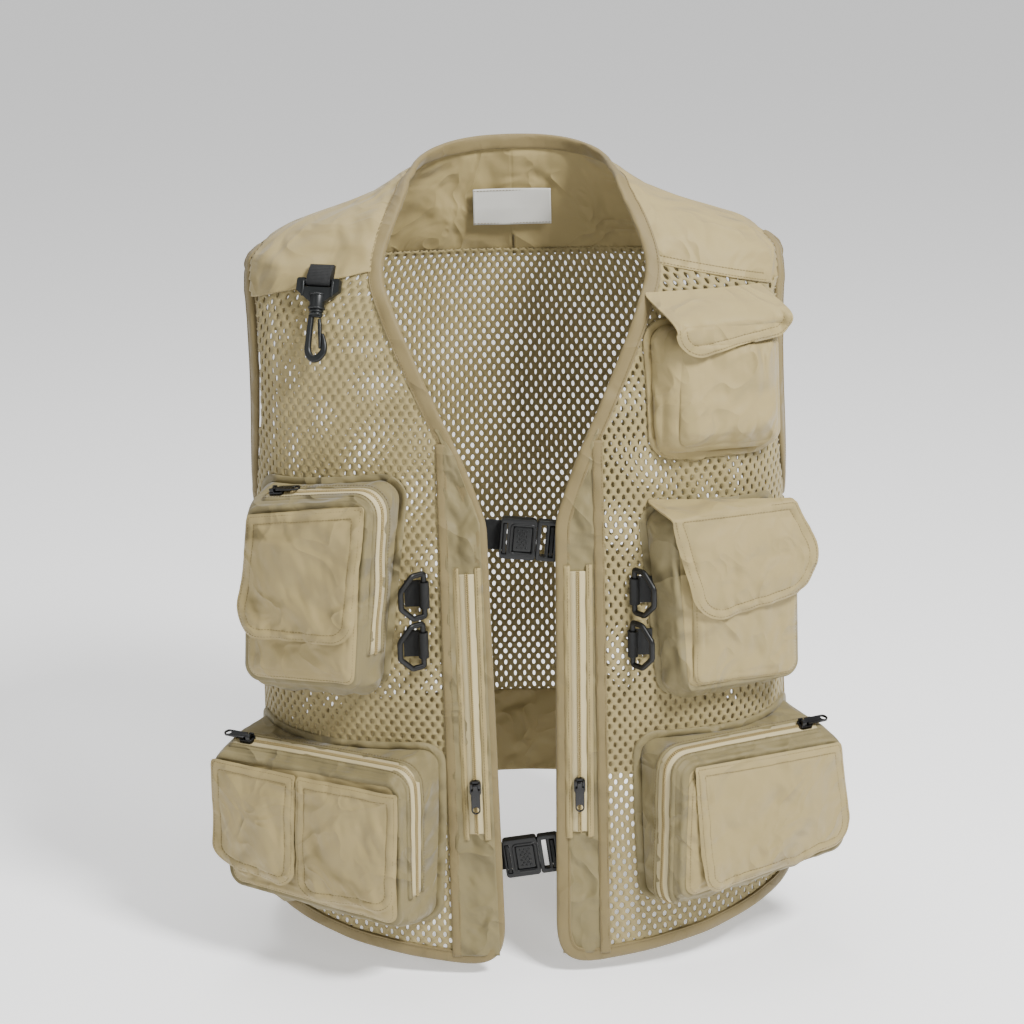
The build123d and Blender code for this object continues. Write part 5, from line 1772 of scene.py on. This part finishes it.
def make_sliders():
    for place in ("right_front", "left_front", "right_mid", "right_low", "left_low"):
        for node, width in ((f"{place}_slider", 0.6), (f"{place}_pull", 0.5)):
            settle(refined(f"{node}_shape", node, zip_black, width, 3), node, "zip_metal", node)


# ---------------------------------------------------------------- the vest's shell
for side in (RIGHT, LEFT):
    word = side_word(side)
    settle(front_sheet(side), "vest", "mesh_cloth", f"{word}_front_mesh")
    settle(join_pieces(f"{word}_placket_cloth", make_placket(side)), "vest", "binding_cloth",
           f"{word}_placket")
    settle(join_pieces(f"{word}_front_zip", make_front_zip(side)), "vest", "zip_tape", "front_zips")
    settle(make_armhole_binding(side), "vest", "binding_cloth", "armhole_bindings")
    settle(make_side_seam(side), "vest", "binding_cloth")
for net in back_nets():
    settle(net, "vest", "mesh_cloth", "back_mesh_panel")
settle(make_yoke(), "vest", "plain_cloth", "shoulder_yoke")
settle(make_edge_binding(), "vest", "binding_cloth", "edge_binding")
settle(make_hem_band(), "vest", "plain_cloth", "back_hem_band")
settle(make_label(), "vest", "label_cloth", "neck_label")


# ---------------------------------------------------------------- each pocket in its place
# Corners run: upper left, upper right, lower right, lower left, seen from outside.
right_mid = BoxPocket("right_mid", Stand(-150, -315, -26, 34), [(-60, 65), (52, 84), (34, -79), (-72, -85)],
                      [(-78, 78), (54, 86), (40, -88), (-76, -92)], 13, 5.0, 3.0, slack=1.5, seed=101)
right_low = BoxPocket("right_low", Stand(-150, -530, -28, 34), [(-109, 62), (72, 66), (68, -66), (-98, -58)],
                      [(-96, 80), (78, 77), (76, -82), (-90, -74)], 13, 5.0, 3.0, slack=1.5, seed=131)
left_low = BoxPocket("left_low", Stand(150, -530, 28, 34), [(-45, 70), (110, 60), (116, -44), (-50, -52)],
                     [(-62, 82), (92, 84), (96, -66), (-60, -74)], 13, 5.0, 3.0, slack=1.5, seed=161)
left_mid = BoxPocket("left_mid", Stand(150, -340, 26, 20), [(-46, 80), (72, 70), (76, -74), (-36, -68)],
                     [(-52, 84), (60, 80), (66, -82), (-46, -78)], 13, 6.0, 3.0, slack=1.3, seed=191)
left_chest = BoxPocket("left_chest", Stand(150, -165, 26, 18), [(-40, 50), (60, 44), (64, -54), (-42, -46)],
                       [(-46, 54), (48, 52), (52, -56), (-46, -52)], 14, 13.0, 8.0, gather=2.4, slack=1.2,
                       seed=221)

# A zip runs between two places of the face's outline, which are counted from its first corner.
for pocket, first, last in ((right_mid, 11, 62), (right_low, 8, 62), (left_low, -28, 33)):
    name = pocket.name
    # The walls wear the darker khaki, which paints their shade.
    settle(pocket.make_gusset(box_cloth), "vest", "plain_cloth", f"{name}_gusset")
    settle(pocket.make_front(plain_cloth), "vest", "plain_cloth", f"{name}_face")
    settle(make_zip(name, pocket.zip_run(first, last)), "vest", "zip_tape", f"{name}_zip")

patches = {
    "right_mid": (right_mid, [(-58, 50), (46, 68), (32, -74), (-68, -80)]),
    "right_low": (right_low, [(-100, 48), (66, 52), (64, -62), (-94, -54)]),
    "left_low": (left_low, [(-40, 58), (104, 50), (110, -40), (-44, -48)]),
    "left_mid": (left_mid, [(-28, 50), (72, 50), (73, -70), (-26, -62)]),
}
for name, (pocket, corners) in patches.items():
    outline = rounded(corners, [10] * 4)

    def patch_level(u, v, pocket=pocket, outline=outline, seed=len(corners[0]) + pocket.seed):
        gap = edge_distance(outline, u, v)
        creases = folds(u, v, 22.0, seed, 2.0, -18.0) * np.clip(gap / 12, 0, 1) * 1.1
        bulge = 2.2 * (1 - np.exp(-gap / 9.0)) + creases
        return pocket.front_level(u, v) + 0.3 + bulge + stitched_border(outline, u, v, seed, 0.35) * 0.8

    patch = cloth_plate(f"{name}_patch_cloth", pocket.stand, corners, [10] * 4, patch_level, 1.3,
                        plain_cloth)
    if name == "left_mid":
        patch = join_pieces("left_mid_front", [left_mid.make_front(plain_cloth), patch])
        settle(patch, "vest", "plain_cloth", "left_mid_face")
    else:
        settle(patch, "vest", "plain_cloth", f"{name}_patch")
    line = rounded(inset(corners, [2.0] * 4), [8] * 4)
    sew("patches", pocket.stand.place(line[:, 0], line[:, 1], patch_level(line[:, 0], line[:, 1]) + 1.6))

# The walls wear the darker khaki, which paints their shade.
settle(left_mid.make_gusset(box_cloth), "vest", "plain_cloth", "left_mid_gusset")
pouch = join_pieces("chest_pouch", [left_chest.make_gusset(plain_cloth), left_chest.make_front(plain_cloth)])
settle(pouch, "vest", "plain_cloth", "left_chest_pouch")

# Name, pocket, corners, corner radii, level over the front, curl, gather along the top, and how far the flap
# takes to rise from the vest's cloth.
flaps = (
    ("right_mid_flap", right_mid, [(-57, 60), (50, 79), (35, -36), (-78, -44)],
     (3, 3, 20, 22), 4.2, 6.0, 0.0, 0.0),
    ("right_low_flap_outer", right_low, [(-108, 56), (-24, 56), (-30, -46), (-112, -36)],
     (3, 3, 16, 18), 4.2, 5.0, 0.0, 0.0),
    ("right_low_flap_inner", right_low, [(-22, 56), (71, 56), (67, -48), (-28, -52)],
     (3, 3, 18, 16), 4.2, 5.0, 0.0, 0.0),
    ("left_low_flap", left_low, [(-37, 66), (107, 56), (121, -34), (-30, -48)],
     (3, 3, 20, 18), 4.2, 6.0, 0.0, 0.0),
    ("left_mid_flap", left_mid, [(-49, 88), (66, 82), (107, 8), (-24, -8)],
     (3, 6, 32, 28), 5.6, 7.0, 0.5, 7.0),
    ("left_chest_flap", left_chest, [(-42, 77), (57, 75), (70, 42), (-38, 32)],
     (3, 5, 15, 20), 5.0, 5.0, 0.5, 24.0),
)
for name, pocket, corners, radii, level, curl, gather, rise in flaps:

    def over(u, v, pocket=pocket, level=level, rise=rise, top=max(corners[0][1], corners[1][1])):
        front = level + np.clip(pocket.front_level(u, v, False), 0.0, pocket.puff + 2.0) * 0.9
        if not rise:
            return front
        share = np.clip((top - v) / rise, 0, 1)
        share = share * share * (3 - 2 * share)
        return front * share + (pocket.stand.skin_depth(u, v) + 2.0) * (1 - share)

    flap, height = make_flap(f"{name}_cloth", pocket.stand, corners, radii, over, pocket.seed + 40, curl,
                             gather)
    settle(flap, name, "plain_cloth", name)
    cut = np.array(corners, float)
    width, length = np.ptp(cut, axis=0) * MM
    after = np.roll(cut, -1, 0)
    area = abs((cut[:, 0] * after[:, 1] - cut[:, 1] * after[:, 0]).sum()) / 2 * MM * MM
    # The cut is as long as the bent cloth measures from its sewn edge to its tip.
    down = np.linspace(cut[:, 1].max(), cut[:, 1].min(), 80)
    bent = np.hypot(np.diff(down), np.diff(height(np.full(80, cut[:, 0].mean()), down))).sum() / np.ptp(down)
    length, area = length * bent, area * bent


# ---------------------------------------------------------------- hardware in its place
for side, raised in ((RIGHT, 36.0), (LEFT, 50.0)):
    for place in ("upper", "lower"):
        name = f"{side_word(side)}_{place}_d_ring"
        settle(make_d_ring(name, side, raised), name, "black_plastic", name)
dress_buckle("chest")
dress_buckle("waist")
make_hook_base()
make_snap_hook()
make_small_webbing()
make_sliders()
for owner, lines in stitch_lines.items():
    # A flap's stitches ride on the flap, whose body is named as its cloth is.
    body = owner.removesuffix("_cloth") if "_flap_" in owner else "vest"
    settle(rows_of(f"{owner}_stitches", lines, stitch_shape, STITCH_STEP, thread), body, "binding_cloth")


# ---------------------------------------------------------------- floor, light and camera
def make_stage():
    """A pale floor, an even room and three lamps."""
    floor_z, far = -0.66, 60
    mesh = bpy.data.meshes.new("floor")
    corners = [(-far, -far, floor_z), (far, -far, floor_z), (far, far, floor_z), (-far, far, floor_z)]
    mesh.from_pydata(corners, [], [(0, 1, 2, 3)])
    paper, _, shader = start_material("paper")
    shader.inputs["Base Color"].default_value = (0.95, 0.95, 0.95, 1)
    shader.inputs["Emission Color"].default_value = (1, 1, 1, 1)
    shader.inputs["Emission Strength"].default_value = 0.45
    shader.inputs["Roughness"].default_value = 0.9
    mesh.materials.append(paper)
    add_object("floor", mesh)
    world = bpy.data.worlds.new("room")
    world.use_nodes = True
    world.node_tree.nodes["Background"].inputs["Color"].default_value = (1, 1, 1, 1)
    world.node_tree.nodes["Background"].inputs["Strength"].default_value = 0.42
    bpy.context.scene.world = world
    for name, place, size, power in (
        ("key", (1.0, -1.15, 1.25), 0.45, 88.0),
        ("fill", (-2.0, -1.6, 0.7), 1.5, 8.0),
        ("top", (-0.3, 0.5, 1.8), 1.2, 30.0),
    ):
        lamp = bpy.data.lights.new(name, "AREA")
        lamp.size = size
        lamp.energy = power
        light = add_object(name, lamp)
        light.location = place
        light.rotation_euler = (Vector((0, 0, -0.3)) - Vector(place)).to_track_quat("-Z", "Y").to_euler()


def make_camera():
    """A long lens from in front and a little above, as a shop would picture it."""
    rise, lean, distance = math.radians(18.0), math.radians(-1.5), 2.0
    target = Vector((-0.0068, 0.0, -0.291))
    spot = target + Vector((0, -math.cos(rise), math.sin(rise))) * distance
    data = bpy.data.cameras.new("camera")
    data.lens = 83.3
    data.sensor_width = 36.0
    camera = add_object("camera", data)
    camera.location = spot
    aim = (target - spot).to_track_quat("-Z", "Y")
    camera.rotation_euler = (aim @ Quaternion((0, 0, 1), lean)).to_euler()
    bpy.context.scene.camera = camera


make_stage()
make_camera()

for helper in (stitch_shape, tooth_shape, net_shape):
    bpy.data.objects.remove(helper)
